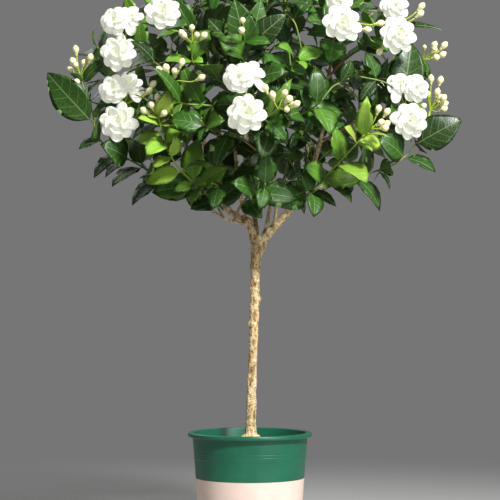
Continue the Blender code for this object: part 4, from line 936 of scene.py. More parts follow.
def turned_shape(radius, height, sides, base=(0, 0, 0), axis=(0, 0, 1), turn=0.0):
    """A closed turned shape about an axis. radius and height have a row for each ring, and a column for each
    side where they differ round it. The first and last point are on the axis at their rings' mean height."""
    radius, height = (np.broadcast_to(np.reshape(rows, (len(rows), -1)), (len(rows), sides))
                      for rows in (radius, height))
    base, axis = np.asarray(base, float), np.asarray(axis, float)
    side = unit(np.cross(axis, (0.31, 0.17, 0.94)))
    up = np.cross(axis, side)
    angle = (2 * np.pi * np.arange(sides) / sides + turn)[:, None]
    points = base + axis * height[..., None] + radius[..., None] * (np.cos(angle) * side + np.sin(angle) * up)
    ends = base + axis * height[[0, -1]].mean(1)[:, None]
    return np.vstack([points.reshape(-1, 3), ends]), *ring_stack_faces(len(radius), sides)


def add_stem(piece, stem, fresh):
    """A green stem: its radius falls evenly and swells by a bell curve at each leaf node."""
    length = stem["arc"][-1]
    s = np.unique(np.concatenate([np.linspace(0, length, max(3, round(length / STEM_STEP))), stem["nodes"]]))
    bells = np.exp(-((s[:, None] - np.array(stem["nodes"])) / 0.0016) ** 2).sum(1)
    radius = np.interp(s / length, (0, 1), SHOOT_RADII) * (0.92 + 0.38 * bells)
    along = np.append(np.repeat(s / length, STEM_SIDES), (0, 1))
    nodes = np.append(np.repeat(np.minimum(1, bells), STEM_SIDES), (0, 0))
    piece.add(*tube_shape(at_arc(stem["curve"], stem["arc"], s), radius, STEM_SIDES), STEM_LOOK,
              fresh=np.clip(fresh + 0.5 * along, 0, 1), tint=nodes)


def add_stalk(piece, start, leaving, end, way, calyx, turn):
    """A stalk along the cubic that leaves start one way and arrives at end another way, and its calyx: a
    small cup that widens from foot to mouth, with teeth that stand up from its edge, closed inside."""
    reach = np.linalg.norm(end - start)
    a, b = start + unit(leaving) * reach * 0.35, end - unit(way) * reach * 0.35
    t = np.linspace(0, 1, 7)[:, None]
    curve = (1 - t)**3 * start + 3 * (1 - t)**2 * t * a + 3 * (1 - t) * t**2 * b + t**3 * end
    piece.add(*tube_shape(curve, np.interp(t[:, 0], (0, 1), calyx.stalk), STALK_SIDES), CALYX_LOOK)
    share = np.array([0.0, 0.35, 0.75, 1.0, 1.0])[:, None] * np.ones(CALYX_SIDES)
    tooth = calyx.teeth * (np.arange(CALYX_SIDES) % 2)
    radius = calyx.foot + (calyx.mouth - calyx.foot) * share ** 0.7
    height = calyx.height * share
    height[3:] += tooth
    radius[3:] += 0.06 * tooth
    radius[4] -= 0.0004
    foot = end - way * calyx.sunk
    points, quads, tris = turned_shape(radius, height, CALYX_SIDES, foot, way, turn)
    points[-1] = foot + way * calyx.height * 0.4
    piece.add(points, quads, tris, CALYX_LOOK)


def add_bud(piece, base, axis, length, radius):
    """A closed bud: a slim tube that swells to its widest above its middle and rounds to a blunt tip, with
    five furled petals that wind round it."""
    share = np.array([0.0, 0.10, 0.22, 0.34, 0.46, 0.58, 0.70, 0.80, 0.89, 0.96])[:, None]
    swell = np.interp(share, (0, 0.22, 0.46, 0.62, 0.80, 0.96), (0.34, 0.44, 0.86, 1.0, 0.80, 0.30))
    angle = 2 * np.pi * np.arange(BUD_SIDES) / BUD_SIDES
    furl = 0.06 * np.clip(share - 0.25, 0, 1) / 0.75 * np.cos(5 * (angle + BUD_TWIST * share))
    points, quads, tris = turned_shape(radius * swell * (1 + furl), length * share, BUD_SIDES, base, axis)
    points[-1] = base + axis * length
    piece.add(points, quads, tris, depth=np.append(np.repeat(1 - share, BUD_SIDES), (1, 0)))


def add_whorl(piece, seat, axis, radius, whorl, first, rng, thickness):
    """Closed petals of one whorl, the first one on the side that first is on. Along u the petal leaves at its
    lift and turns up by its curl, so its place is the running sum of the cosine and sine of that angle. Its
    half width is an ellipse that is widest at two thirds. Across w it cups up by w squared, its edge waves,
    and all of it rolls about its middle line, so that each petal lies over its neighbour."""
    count, long, wide, lift, curl, cup, point, high = whorl
    chance = rng.uniform(-1, 1, (6, count, 1, 1, 1))
    u = np.array([*PETAL_ROW_SHARES, 1.0])[:, None, None]
    w = np.linspace(-1, 1, PETAL_COLUMNS + 1)[:, None]
    side = square_to(first, axis)
    place = np.arange(count)[:, None, None, None] / count + 0.15 * chance[0] / (count + 3)
    turn = 2 * np.pi * place + 5 * high
    out = np.cos(turn) * side + np.sin(turn) * np.cross(axis, side)
    length = radius * long * (1 + 0.07 * chance[1])
    angle = lift + 0.10 * chance[2] + (curl + 0.12 * chance[3]) * u
    step = np.diff(u, axis=0, prepend=0)
    reach = np.cumsum(np.cos(angle) * step, axis=1)
    rise = np.cumsum(np.sin(angle) * step, axis=1)
    short = u < PETAL_WIDEST
    share = np.where(short, 1 - u / PETAL_WIDEST, (u - PETAL_WIDEST) / (1 - PETAL_WIDEST))
    swell = np.clip(1 - share**2, 0, 1) ** np.where(short, 0.5, 0.5 + 0.35 * point)
    half = radius * wide * (1 + 0.08 * chance[4]) * (0.20 * (1 - u) + 0.92 * swell)
    normal = axis * np.cos(angle) - out * np.sin(angle)
    ruffle = 0.07 * np.sin(3.2 * w + 4 * chance[5]) * u**2
    middle = (seat + axis * high * radius + out * (PETAL_START + length * reach) + axis * length * rise
              + np.cross(out, axis) * half * w * np.cos(PETAL_ROLL)
              + normal * half * (cup * w**2 + w * np.sin(PETAL_ROLL) + ruffle))
    skin = normal * (thickness / 2 * (1 - w**2))
    points = in_blade_order((middle + skin)[:, :-1], (middle - skin)[:, :-1],
                            middle[:, -1, PETAL_COLUMNS // 2])
    depth = np.broadcast_to(1 - u, (*middle.shape[:3], 1))[:, :-1]
    depth = in_blade_order(depth, depth, 0.0)[..., 0] * (0.7 + np.clip(high * 3.5, 0, 1))
    quads, tris, _ = blade_faces(len(PETAL_ROW_SHARES), PETAL_COLUMNS)
    piece.add(points, quads[:, ::-1], tris[:, ::-1], depth=np.clip(depth, 0, 1))


def add_bloom(piece, bloom, index, settings):
    """A double bloom on its tube: whorl inside whorl of closed petals."""
    rng = np.random.default_rng([SEED, 500, index])
    seat, axis, form = bloom["seat"], bloom["axis"], bloom["form"]
    radius = BLOOM_RADII[form] * settings.bloom_size
    whorls = [(whorl, FIRST_PETAL) for whorl in WHORLS[form]]
    if form == "side":
        whorls.append((HANGING_PETAL, bloom["hang"]))
    for whorl, first in whorls:
        add_whorl(piece, seat + axis * (TUBE_LENGTH - MM), bloom["face"], radius, whorl, first, rng,
                  settings.petal_thickness)
    share = np.array([0, 0.3, 0.7, 1.0])
    tube = np.interp(share, (0, 0.7, 1), (0.0011, 0.0015, 0.0026))
    piece.add(*turned_shape(tube, share * (TUBE_LENGTH + MM), TUBE_SIDES, seat - axis * MM, axis), depth=1.3)


def lattice_noise(points, size, seed):
    """Smooth noise from -1 to 1: seeded values on a grid of that size, blended by smooth steps between."""
    p = points / size
    low = np.floor(p).astype(np.int64)
    t = p - low
    t = t * t * (3 - 2 * t)
    total = 0
    for corner in np.ndindex(2, 2, 2):
        x, y, z = ((low + corner) * NOISE_PRIMES).T
        code = x ^ y ^ z ^ (seed * NOISE_SEED_PRIME)
        code = (code ^ (code >> 13)) * 1274126177 & 0x7FFFFFFF
        total = total + np.where(corner, t, 1 - t).prod(1) * (code / 0x3FFFFFFF - 1)
    return total


def plug(node, inputs):
    """Sets a node's inputs, by name or number, to values, or links them to other nodes' outputs. By number, a
    map range has its value, old range and new range from 0 on, and a mix has its share as 0 and its colours
    as 6 and 7."""
    for key, value in inputs.items():
        if isinstance(value, bpy.types.NodeSocket):
            node.id_data.links.new(value, node.inputs[key])
        else:
            node.inputs[key].default_value = value


def add_node(tree, kind, inputs=(), out=0, stops=(), **fields):
    """Adds a node with its own fields, a colour ramp's stops and its inputs, and gives one of its outputs."""
    node = tree.nodes.new(f"ShaderNode{kind}")
    for key, value in fields.items():
        setattr(node, key, value)
    for k, (place, tone) in enumerate(stops):
        elements = node.color_ramp.elements
        stop = elements[k] if k < len(elements) else elements.new(place)
        stop.position, stop.color = place, tone
    plug(node, dict(inputs))
    return node.outputs[out]


def new_material(name, *keys):
    """A material, what adds a node to it, the place that its patterns follow, in metres, and the points'
    values of those names."""
    made = bpy.data.materials.new(name)
    made.use_nodes = True
    add = partial(add_node, made.node_tree)
    return made, add, add("TexCoord", out="Object"), *(add("Attribute", out="Fac", attribute_name=key)
                                                       for key in keys)


def surfaced(made, inputs):
    """The material, with its surface shader's inputs set."""
    plug(made.node_tree.nodes["Principled BSDF"], inputs)
    return made


def leaf_material(name, settings, under):
    """Living leaf: a waxy skin over flesh. It is glossy above, with a pale rib and arched side veins, and
    paler and dull below. The largest leaves also show the net between their veins."""
    made, add, place, fresh, tint, net = new_material(name, "fresh", "tint", "net")
    flat = add("UVMap", uv_map="place")
    across = add("Math", {0: add("SeparateXYZ", {0: flat}, "X")}, operation="ABSOLUTE")
    body = add("ValToRGB", {0: fresh}, stops=((0.0, settings.old_colour), (0.35, settings.grown_colour),
                                              (0.70, settings.young_colour), (1.0, settings.fresh_colour)))
    mottle = add("TexNoise", {"Vector": place, "Scale": 1 / 0.014, "Detail": 2.0})
    shade = add("Math", {0: tint, 1: 0.30, 2: 0.75}, operation="MULTIPLY_ADD")
    shade = add("Math", {0: mottle, 1: 0.5, 2: shade}, operation="MULTIPLY_ADD")
    body = add("HueSaturation", {"Color": body, "Value": shade})
    arched = add("Math", {0: across, 1: 1.1, 2: 0.55}, operation="MULTIPLY_ADD")
    arched = add("Math", {0: arched, 1: across}, operation="MULTIPLY")
    slope = add("Math", {0: add("SeparateXYZ", {0: flat}, "Y"), 1: arched}, operation="SUBTRACT")
    field = add("Math", {0: slope, 1: settings.vein_pairs}, operation="MULTIPLY")
    field = add("Math", {0: field, 1: 0.5}, operation="PINGPONG")
    rib = add("MapRange", {0: across, 1: 0.003, 2: 0.014, 3: 0.55, 4: 0.0}, interpolation_type="SMOOTHSTEP")
    vein = add("MapRange", {0: field, 1: 0.0, 2: 0.07, 3: 1.0, 4: 0.0}, interpolation_type="SMOOTHSTEP")
    strength = add("Math", {0: net, 1: 0.15, 2: 0.20}, operation="MULTIPLY_ADD")
    vein = add("Math", {0: vein, 1: strength}, operation="MULTIPLY")
    lines = add("Math", {0: rib, 1: vein}, operation="MAXIMUM")
    cells = add("TexVoronoi", {"Vector": flat, "Scale": 17.0}, feature="DISTANCE_TO_EDGE")
    mesh = add("MapRange", {0: cells, 1: 0.0, 2: 0.14, 3: 0.09, 4: 0.0})
    mesh = add("Math", {0: mesh, 1: net}, operation="MULTIPLY")
    lines = add("Math", {0: lines, 1: mesh}, operation="MAXIMUM")
    pale = add("Mix", {0: 0.5, 6: body, 7: settings.vein_colour}, 2, data_type="RGBA")
    skin = add("Mix", {0: lines, 6: body, 7: pale}, 2, data_type="RGBA")
    if under:
        skin = add("Mix", {0: 0.35, 6: skin, 7: settings.under_colour}, 2, data_type="RGBA")
    height = add("Math", {0: mottle, 1: lines}, operation="SUBTRACT")
    bump = add("Bump", {"Height": height, "Distance": 0.0008, "Strength": 0.7}, invert=under)
    return surfaced(made, {"Base Color": skin, "Roughness": 0.55 if under else settings.gloss, "IOR": 1.42,
                           "Normal": bump})


def stem_material(settings):
    """Green shoot bark: smooth and slightly waxy, darker and browner where it is older and at its nodes."""
    made, add, place, fresh, nodes = new_material("green_stem", "fresh", "tint")
    mottle = add("TexNoise", {"Vector": place, "Scale": 1 / 0.006, "Detail": 2.0})
    body = add("ValToRGB", {0: fresh}, stops=((0.0, settings.old_stem_colour), (1.0, settings.fresh_colour)))
    brown = add("Math", {0: nodes, 1: mottle}, operation="MULTIPLY")
    body = add("Mix", {0: brown, 6: body, 7: settings.node_colour}, 2, data_type="RGBA")
    return surfaced(made, {"Base Color": body, "Roughness": 0.45, "IOR": 1.42,
                           "Normal": add("Bump", {"Height": mottle, "Distance": 0.0003})})


def petal_material(name, tip, root, light, painted_glow):
    """Living petal: thin wet flesh under a dull skin, tinged towards its root. Its emission is a painted glow
    that stands in for light passing through the petal and lifts its shade.
    """
    made, add, place, depth = new_material(name, "depth")
    cloud = add("TexNoise", {"Vector": place, "Scale": 1 / 0.004, "Detail": 3.0})
    spread = add("MapRange", {0: depth, 1: 0.45, 2: 1.3, 3: 0.0, 4: 1.0}, interpolation_type="SMOOTHSTEP")
    # Painted light: the emission, in the light colour at the glow strength, brightens the petal everywhere in
    # place of light that passes through it.
    return surfaced(made, {
        "Base Color": add("Mix", {0: spread, 6: tip, 7: root}, 2, data_type="RGBA"),
        "Normal": add("Bump", {"Height": cloud, "Distance": 0.0003, "Strength": 0.5}),
        "Roughness": 0.48, "IOR": 1.38, "Subsurface Weight": 0.35, "Subsurface Scale": 1.0,
        "Subsurface Radius": (0.0012, 0.0012, 0.0010), "Emission Color": light, "Emission Strength": painted_glow})


def calyx_material(settings):
    """Calyx: matt yellow-green flesh."""
    made, add, place = new_material("calyx")
    mottle = add("TexNoise", {"Vector": place, "Scale": 1 / 0.002, "Detail": 2.0})
    body = add("Mix", {0: mottle, 6: settings.calyx_colour, 7: settings.stalk_colour}, 2, data_type="RGBA")
    return surfaced(made, {"Base Color": body, "Roughness": 0.6, "IOR": 1.4})


def bark_material(settings):
    """Young jasmine bark: thin, corky and straw-coloured. The eye gets pale upright flakes, brown seams
    between them, dark pinprick pores, and darker brown on the twigs."""
    made, add, place, twig, hollow = new_material("corky_bark", "twig", "hollow")
    tall = add("Mapping", {"Vector": place, "Scale": (1 / 0.0042, 1 / 0.0042, 1 / 0.0065)})
    flakes = add("TexNoise", {"Vector": tall, "Scale": 1.0, "Detail": 5.0, "Roughness": 0.65})
    patches = add("TexNoise", {"Vector": place, "Scale": 1 / 0.018, "Detail": 2.0})
    pores = add("TexVoronoi", {"Vector": place, "Scale": 1 / 0.0034, "Randomness": 1.0})
    body = add("ValToRGB", {0: flakes}, stops=((0.34, settings.seam_colour), (0.50, settings.bark_colour),
                                               (0.68, settings.flake_colour)))
    patchy = add("MapRange", {0: patches, 1: 0.4, 2: 0.65, 3: 0.0, 4: 0.5})
    body = add("Mix", {0: patchy, 6: body, 7: settings.bark_colour}, 2, data_type="RGBA",
               blend_type="MULTIPLY")
    dots = add("MapRange", {0: pores, 1: 0.16, 2: 0.32, 3: 0.85, 4: 0.0})
    seam = settings.seam_colour
    for share, tone in ((dots, seam), (hollow, seam), (twig, settings.twig_colour)):
        body = add("Mix", {0: share, 6: body, 7: tone}, 2, data_type="RGBA")
    height = add("Math", {0: dots, 1: -0.7, 2: flakes}, operation="MULTIPLY_ADD")
    return surfaced(made, {"Base Color": body, "Roughness": 0.85, "IOR": 1.5,
                           "Normal": add("Bump", {"Height": height, "Distance": 0.0012, "Strength": 0.9})})


def plastic_material(settings):
    """Injection-moulded polypropylene: an even, waxy half gloss with faint clouding, and fine turned lines
    from the mould."""
    made, add, place = new_material("moulded_polypropylene")
    cloud = add("TexNoise", {"Vector": place, "Scale": 1 / 0.03, "Detail": 4.0})
    lines = add("Mapping", {"Vector": place, "Scale": (1 / 0.3, 1 / 0.3, 1 / 0.0016)})
    turned = add("TexNoise", {"Vector": lines, "Scale": 1.0, "Detail": 3.0})
    shade, rough = (add("MapRange", {0: cloud, 1: 0.3, 2: 0.7, 3: low, 4: high})
                    for low, high in ((0.88, 1.10), (0.30, 0.42)))
    body = add("HueSaturation", {"Color": settings.plastic_colour, "Value": shade})
    return surfaced(made, {"Base Color": body, "Roughness": rough, "IOR": 1.49,
                           "Normal": add("Bump", {"Height": turned, "Distance": 0.0002, "Strength": 0.5})})


def band_material(settings):
    """Printed film: a smooth pale ink on the plastic, satin, with a faint warm mottle."""
    made, add, place = new_material("printed_film")
    cloud = add("TexNoise", {"Vector": place, "Scale": 1 / 0.02, "Detail": 2.0})
    shade = add("MapRange", {0: cloud, 1: 0.3, 2: 0.7, 3: 0.96, 4: 1.04})
    body = add("HueSaturation", {"Color": settings.band_colour, "Value": shade})
    return surfaced(made, {"Base Color": body, "Roughness": 0.42, "IOR": 1.5})


def soil_material(settings):
    """Potting mix: matt, crumbly peat, nearly black, with paler bark chips."""
    made, add, place, chip = new_material("potting_mix", "chip")
    crumbs = add("TexNoise", {"Vector": place, "Scale": 1 / 0.003, "Detail": 6.0, "Roughness": 0.7})
    shade = add("MapRange", {0: crumbs, 1: 0.3, 2: 0.7, 3: 0.5, 4: 1.5})
    body = add("Mix", {0: chip, 6: settings.peat_colour, 7: settings.chip_colour}, 2, data_type="RGBA")
    body = add("HueSaturation", {"Color": body, "Value": shade})
    return surfaced(made, {"Base Color": body, "Roughness": 0.95, "IOR": 1.4,
                           "Normal": add("Bump", {"Height": crumbs, "Distance": 0.002})})


def colour(name, code, description):
    return bpy.props.FloatVectorProperty(name=name, description=description, default=linear(code), size=4,
                                         min=0, max=1, subtype="COLOR")


def length(name, default, description):
    return bpy.props.FloatProperty(name=name, description=description, default=default, min=0, unit="LENGTH",
                                   precision=5)


def number(name, default, description, low=0, high=1):
    return bpy.props.FloatProperty(name=name, description=description, default=default, min=low, max=high)


class JasmineLeafSettings(bpy.types.PropertyGroup):
    old_colour: colour("Old leaf", "#1C3510", "Upper side of the oldest leaves")
    grown_colour: colour("Grown leaf", "#34601A", "Upper side of grown leaves")
    young_colour: colour("Young leaf", "#74A030", "Upper side of young leaves")
    fresh_colour: colour("Fresh leaf", "#A2BA4A", "Upper side of the newest leaves, and fresh stems")
    vein_colour: colour("Veins", "#B4CC84", "Rib and side veins")
    under_colour: colour("Underside", "#7C9A50", "Lower side of the leaves")
    old_stem_colour: colour("Old stem", "#3A5A22", "Green stems near the wood")
    node_colour: colour("Leaf nodes", "#8A5A2A", "Where leaves leave the stem")
    leaf_thickness: length("Leaf thickness", 0.0005, "Thickness of a blade at its rib")
    stalk_radius: length("Leaf stalk", 0.0007, "Half the thickness of a leaf's stalk")
    wave: number("Wave", 0.030, "Height of the edge's waves, as a share of the leaf", high=0.1)
    gloss: number("Gloss", 0.36, "Roughness of the upper side")
    vein_pairs: number("Vein pairs", 6.0, "Side veins along a leaf", 1, 20)


class JasmineBloomSettings(bpy.types.PropertyGroup):
    petal_colour: colour("Petal", "#CBCDBF", "Petals")
    heart_colour: colour("Petal root", "#CCCCAE", "Petals towards their roots")
    # Painted light: the petal light is the colour of an emission that brightens the petals as if light passed
    # through them.
    painted_glow_colour: colour("Petal light", "#F6F8EA", "Light that comes through the petals")
    bud_colour: colour("Bud", "#EBE2B2", "Buds")
    bud_root_colour: colour("Bud root", "#BCC862", "Buds where they leave the calyx")
    calyx_colour: colour("Calyx", "#B4C644", "Calyxes and flower stalks")
    stalk_colour: colour("Calyx shade", "#8FAE38", "The darker mottle of the calyxes")
    # Painted light: glow and bud glow are emission strengths that brighten petals and buds as if light passed
    # through them, though they are no lamp.
    painted_glow: number("Glow", 0.36, "Light that the petals pass on from behind")
    bud_painted_glow: number("Bud glow", 0.08, "Light that the buds pass on from behind")
    petal_thickness: length("Petal thickness", 0.0005, "Thickness of a petal at its middle")
    bud_radius: length("Bud radius", 0.0051, "Half the width of a full bud")
    bloom_size: number("Bloom size", 1.0, "Size of the blooms as a share of the solids'", 0.5, 1.2)


class JasmineWoodSettings(bpy.types.PropertyGroup):
    bark_colour: colour("Bark", "#D8BF8E", "Bark of the trunk and limbs")
    flake_colour: colour("Flakes", "#F6EBCE", "Pale flakes of the bark")
    seam_colour: colour("Seams", "#745728", "Seams, pores and hollows of the bark")
    twig_colour: colour("Twigs", "#86693A", "Young twigs")
    grain: length("Mesh grain", 0.0012, "Size of the mesh that the wood is joined on")
    relief: length("Bark relief", 0.0007, "Height of the bark's bumps")


class JasminePotSettings(bpy.types.PropertyGroup):
    plastic_colour: colour("Plastic", "#176047", "Moulded pot")
    band_colour: colour("Band", "#E9D0C2", "Pale printed band")
    band_low: length("Band bottom", 0.045, "Height of the band's lower edge")
    band_high: length("Band top", 0.1108, "Height of the band's upper edge")
    step_share: number("Step", 0.35, "Depth of the wall's step as a share of the solid's")
    peat_colour: colour("Peat", "#2A1F17", "Potting mix")
    chip_colour: colour("Bark chips", "#6E4E33", "Bark chips in the potting mix")


class JasmineStageSettings(bpy.types.PropertyGroup):
    floor_colour: colour("Floor", "#B0B0AE", "Plain pale floor")
    room_colour: colour("Room", "#767676", "Even light of the room")
    distance: length("Camera distance", 2.5, "From the trunk to the camera")
    height: length("Camera height", 0.376, "Of the camera above the floor")
    lens: number("Lens", 117.07, "Focal length in millimetres", 10, 400)
    tilt: bpy.props.FloatProperty(name="Tilt", description="How far the camera looks up",
                                  default=math.radians(1.9), subtype="ANGLE")


def wall_radius(height):
    """Outer radius of the pot's body at a height."""
    return POT_BASE_RADIUS + (POT_BODY_RADIUS - POT_BASE_RADIUS) * height / (POT_HEIGHT - POT_RIM_HEIGHT)


def corner(east, height, radius, first, last):
    """A round corner of an outline: an arc about its middle from one angle to another, in degrees."""
    return [(east + radius * math.cos(a), height + radius * math.sin(a))
            for a in np.radians(np.linspace(first, last, 5))]


def groove(height, depth):
    """A fine groove turned in the pot's wall."""
    shares = ((-2, 0), (-1, 0), (-1 / 3, depth), (1 / 3, depth), (1, 0), (2, 0))
    rows = [(height + share * GROOVE_REACH, d) for share, d in shares]
    return [(wall_radius(z) - d, z) for z, d in rows]


def pot_profile(settings):
    """The pot's outline: up the wall from the foot, over the step and two grooves, round the rim and down
    inside to the floor."""
    under, inner = POT_HEIGHT - POT_RIM_HEIGHT, wall_radius(POT_HEIGHT) - POT_WALL
    step = POT_STEP * settings.step_share
    foot = wall_radius(0) - step - 0.002
    low, high = settings.band_low, settings.band_high
    below = (0.004, 0.020, low - 0.0001, low, 0.06, 0.08, 0.1, high, high + 0.0001, 0.125, 0.1392,
             POT_STEP_HEIGHT)
    return [(foot - 0.008, 0), (foot, 0), *corner(foot, 0.002, 0.002, -75, -10),
            *((wall_radius(z) - step, z) for z in below), *((wall_radius(z), z) for z in (0.1405, 0.1412)),
            *groove(0.1478, 0.0002), *groove(0.152, 0.0003), (wall_radius(0.166), 0.166),
            (wall_radius(under), under - 0.0006), (wall_radius(under) + 0.0002, under),
            *corner(POT_RIM_RADIUS - 0.0016, under + 0.0016, 0.0016, -90, 0),
            *corner(POT_RIM_RADIUS - 0.0024, POT_HEIGHT - 0.0024, 0.0024, 0, 90),
            *corner(inner + 0.0012, POT_HEIGHT - 0.0012, 0.0012, 100, 180),
            (wall_radius(0.150) - POT_WALL - 0.0003, 0.150),
            (wall_radius(POT_FLOOR) - POT_WALL - POT_STEP, POT_FLOOR + 0.002),
            (wall_radius(POT_FLOOR) - POT_WALL - 0.003, POT_FLOOR)]


class JASMINE_OT_pot(bpy.types.Operator):
    """Moulded pot with its rim, turned lines, printed band and drain holes"""

    bl_idname = "jasmine.pot"
    bl_label = "Pot"

    def execute(self, context):
        settings = context.scene.jasmine_pot
        radius, height = np.array(pot_profile(settings)).T
        middle = (height[:-1] + height[1:]) / 2
        outside = np.arange(len(middle)) < np.argmax(height >= POT_HEIGHT - 1e-6)
        banded = outside & (middle > settings.band_low) & (middle < settings.band_high)
        looks = np.append(np.repeat(banded, POT_SIDES), np.zeros(2 * POT_SIDES)).astype(int)
        piece, drains = Piece(), Piece()
        piece.add(*turned_shape(radius, height, POT_SIDES), looks)
        pot = piece.make("moulded_pot", [plastic_material(settings), band_material(settings)], ["pot"], "pot")
        for angle in 2 * np.pi * (np.arange(DRAIN_HOLES) + 0.5) / DRAIN_HOLES:
            place = (DRAIN_CIRCLE * math.cos(angle), DRAIN_CIRCLE * math.sin(angle), -POT_FLOOR)
            drains.add(*turned_shape((DRAIN_RADIUS, DRAIN_RADIUS), (0, 3 * POT_FLOOR), DRAIN_SIDES, place))
        cutter = drains.make("drains", [])
        modify(pot, "BOOLEAN", operation="DIFFERENCE", object=cutter)
        applied(pot)
        bpy.data.objects.remove(cutter)
        pot.data.set_sharp_from_angle(angle=math.radians(40))
        return {"FINISHED"}


def modify(obj, kind, **fields):
    """Adds a modifier."""
    modifier = obj.modifiers.new(kind.lower(), kind)
    for key, value in fields.items():
        setattr(modifier, key, value)


def applied(obj):
    """Makes the object's modifiers part of its mesh."""
    graph = bpy.context.evaluated_depsgraph_get()
    graph.update()
    mesh = bpy.data.meshes.new_from_object(obj.evaluated_get(graph))
    obj.modifiers.clear()
    obj.data = mesh


def soil_height(points, spread):
    """Height of the soil, in two parts: a mound round the trunk, and lumps."""
    mound = SOIL_LEVEL + SOIL_MOUND * np.clip(1 - spread / SOIL_MOUND_RADIUS, 0, 1)
    return mound, SOIL_LUMPS * lattice_noise(points, 0.012, 1)


class JASMINE_OT_soil(bpy.types.Operator):
    """Potting mix that fills the pot, with crumbs and bark chips on top"""

    bl_idname = "jasmine.soil"
    bl_label = "Potting mix"

    def execute(self, context):
        edge = wall_radius(SOIL_LEVEL) - POT_WALL - 0.0016
        rings = np.linspace(1, 0.06, SOIL_RINGS)
        radius = np.append(np.multiply((0.75, 0.98), wall_radius(POT_FLOOR) - POT_WALL - 0.003), edge * rings)
        height = np.append([POT_FLOOR + MM] * 2, 0 * rings)
        points, quads, tris = turned_shape(radius, height, SOIL_SIDES)
        top = np.arange(len(points)) >= 2 * SOIL_SIDES
        top[-2] = False
        spread = np.hypot(points[:, 0], points[:, 1])
        mound, lumps = soil_height(points, spread)
        lumps = (lumps + SOIL_CRUMBS * lattice_noise(points, 0.005, 2)) * (spread > 0.012)
        points[:, 2] = np.where(top, mound + lumps, points[:, 2])
        piece = Piece()
        piece.add(points, quads, tris, chip=0.0)
        add_chips(piece, edge)
        piece.make("potting_mix", [soil_material(context.scene.jasmine_pot)], ["soil"], "soil")
        return {"FINISHED"}


def add_chips(piece, edge):
    """Bark chips: boxes with moved corners, strewn over the soil and turned at random."""
    rng = np.random.default_rng([SEED, 700])
    spread = edge * 0.97 * np.sqrt(rng.uniform(0.05, 1, CHIPS))
    angle = rng.uniform(0, 2 * np.pi, CHIPS)
    place = np.stack([spread * np.cos(angle), spread * np.sin(angle), np.zeros(CHIPS)], axis=-1)
    place[:, 2] = sum(soil_height(place, spread))
    size = rng.uniform(0.5, 1, (CHIPS, 1)) * CHIP_HALF
    box = np.array(list(np.ndindex(2, 2, 2))) * 2.0 - 1
    corners = (box + rng.uniform(-0.3, 0.3, (CHIPS, 8, 3))) * size[:, None]
    turns = rng.uniform(-1, 1, (CHIPS, 3)) * (0.5, 0.5, 3.2)
    for axis in range(3):
        a, b = (axis + 1) % 3, (axis + 2) % 3
        c, s = np.cos(turns[:, axis, None]), np.sin(turns[:, axis, None])
        corners[..., a], corners[..., b] = (corners[..., a] * c - corners[..., b] * s,
                                            corners[..., a] * s + corners[..., b] * c)
    faces = np.array([(0, 1, 3, 2), (4, 6, 7, 5), (0, 4, 5, 1), (2, 3, 7, 6), (0, 2, 6, 4), (1, 5, 7, 3)])
    piece.add(corners + place[:, None] + (0, 0, CHIP_RISE), faces, np.zeros((0, 3), int),
              chip=rng.uniform(0.2, 1, (CHIPS, 1)))


class JASMINE_OT_wood(bpy.types.Operator):
    """Trunk, limbs and twigs with corky bark, knots and scars"""

    bl_idname = "jasmine.wood"
    bl_label = "Wood"

    def execute(self, context):
        settings = context.scene.jasmine_wood
        limbs, plans = crown_plans()
        piece = Piece()
        route = np.array(TRUNK_ROUTE) * MM
        curve = curve_through(route)
        arc = arc_of(curve)
        stops = np.linspace(0, arc[-1], max(3, round(arc[-1] / CURVE_STEP)))
        marks = [arc[np.argmin(np.linalg.norm(curve - p, axis=1))] for p in route]
        radius = np.interp(stops, marks, np.array(TRUNK_RADII) * MM)
        piece.add(*tube_shape(at_arc(curve, arc, stops), radius, TRUNK_SIDES))
        for name, (_, thick, thin) in LIMBS.items():
            radius = np.linspace(thick, thin, len(limbs[name])) * MM * LIMB_SWELL
            piece.add(*tube_shape(limbs[name], radius, LIMB_SIDES))
        high = np.linspace(-0.9, 0.9, 7)
        for *place, size in KNOTS:
            radius = size * MM * np.sqrt(1 - high**2)
            piece.add(*turned_shape(radius, size * MM * high, KNOT_SIDES, np.array(place) * MM))
        for plan in plans:
            radius = np.linspace(TWIG_SWELL, 1.0, len(plan["woody"])) * TWIG_RADIUS
            piece.add(*tube_shape(plan["woody"], radius, TWIG_SIDES))
        wood = piece.make("trunk_and_limbs", [bark_material(settings)], ["trunk"], "bark")
        modify(wood, "REMESH", mode="VOXEL", voxel_size=settings.grain)
        modify(wood, "SMOOTH", factor=0.5, iterations=3)
        applied(wood)
        roughen(wood.data, settings, np.vstack([plan["woody"][len(plan["woody"]) // 6:] for plan in plans]))
        return {"FINISHED"}


def roughen(mesh, settings, woody):
    """Moves the wood's points along their normals by noise: upright flakes, fine grain, swellings, hollows.
    woody are the middle lines of the twigs, where the bark is smoother and browner."""
    points, normals = np.empty((2, len(mesh.vertices), 3))
    mesh.vertices.foreach_get("co", points.ravel())
    mesh.vertex_normals.foreach_get("vector", normals.ravel())
    tree = point_tree(woody)
    near = np.array([tree.find(p)[2] for p in points])
    twig = np.clip(1.6 - near / TWIG_RADIUS * 0.5, 0, 1) * (near < 2.4 * TWIG_RADIUS)
    coarse = lattice_noise(points * FLAKE_STRETCH, FLAKES, 5)
    fine = lattice_noise(points, GRAINS, 6)
    swell = lattice_noise(points, SWELLINGS, 7)
    hollow = np.clip(lattice_noise(points, HOLLOWS, 8) - 0.45, 0, 1) * 2
    move = settings.relief * (coarse + 0.6 * fine + 1.3 * swell - 1.2 * hollow) * (1 - 0.75 * twig)
    mesh.vertices.foreach_set("co", (points + normals * move[:, None]).ravel())
    for name, values in (("twig", twig * 0.85), ("hollow", np.clip(hollow, 0, 1) * (1 - twig))):
        mesh.attributes.new(name, "FLOAT", "POINT").data.foreach_set("value", values)
    mesh.shade_smooth()
    mesh.update()


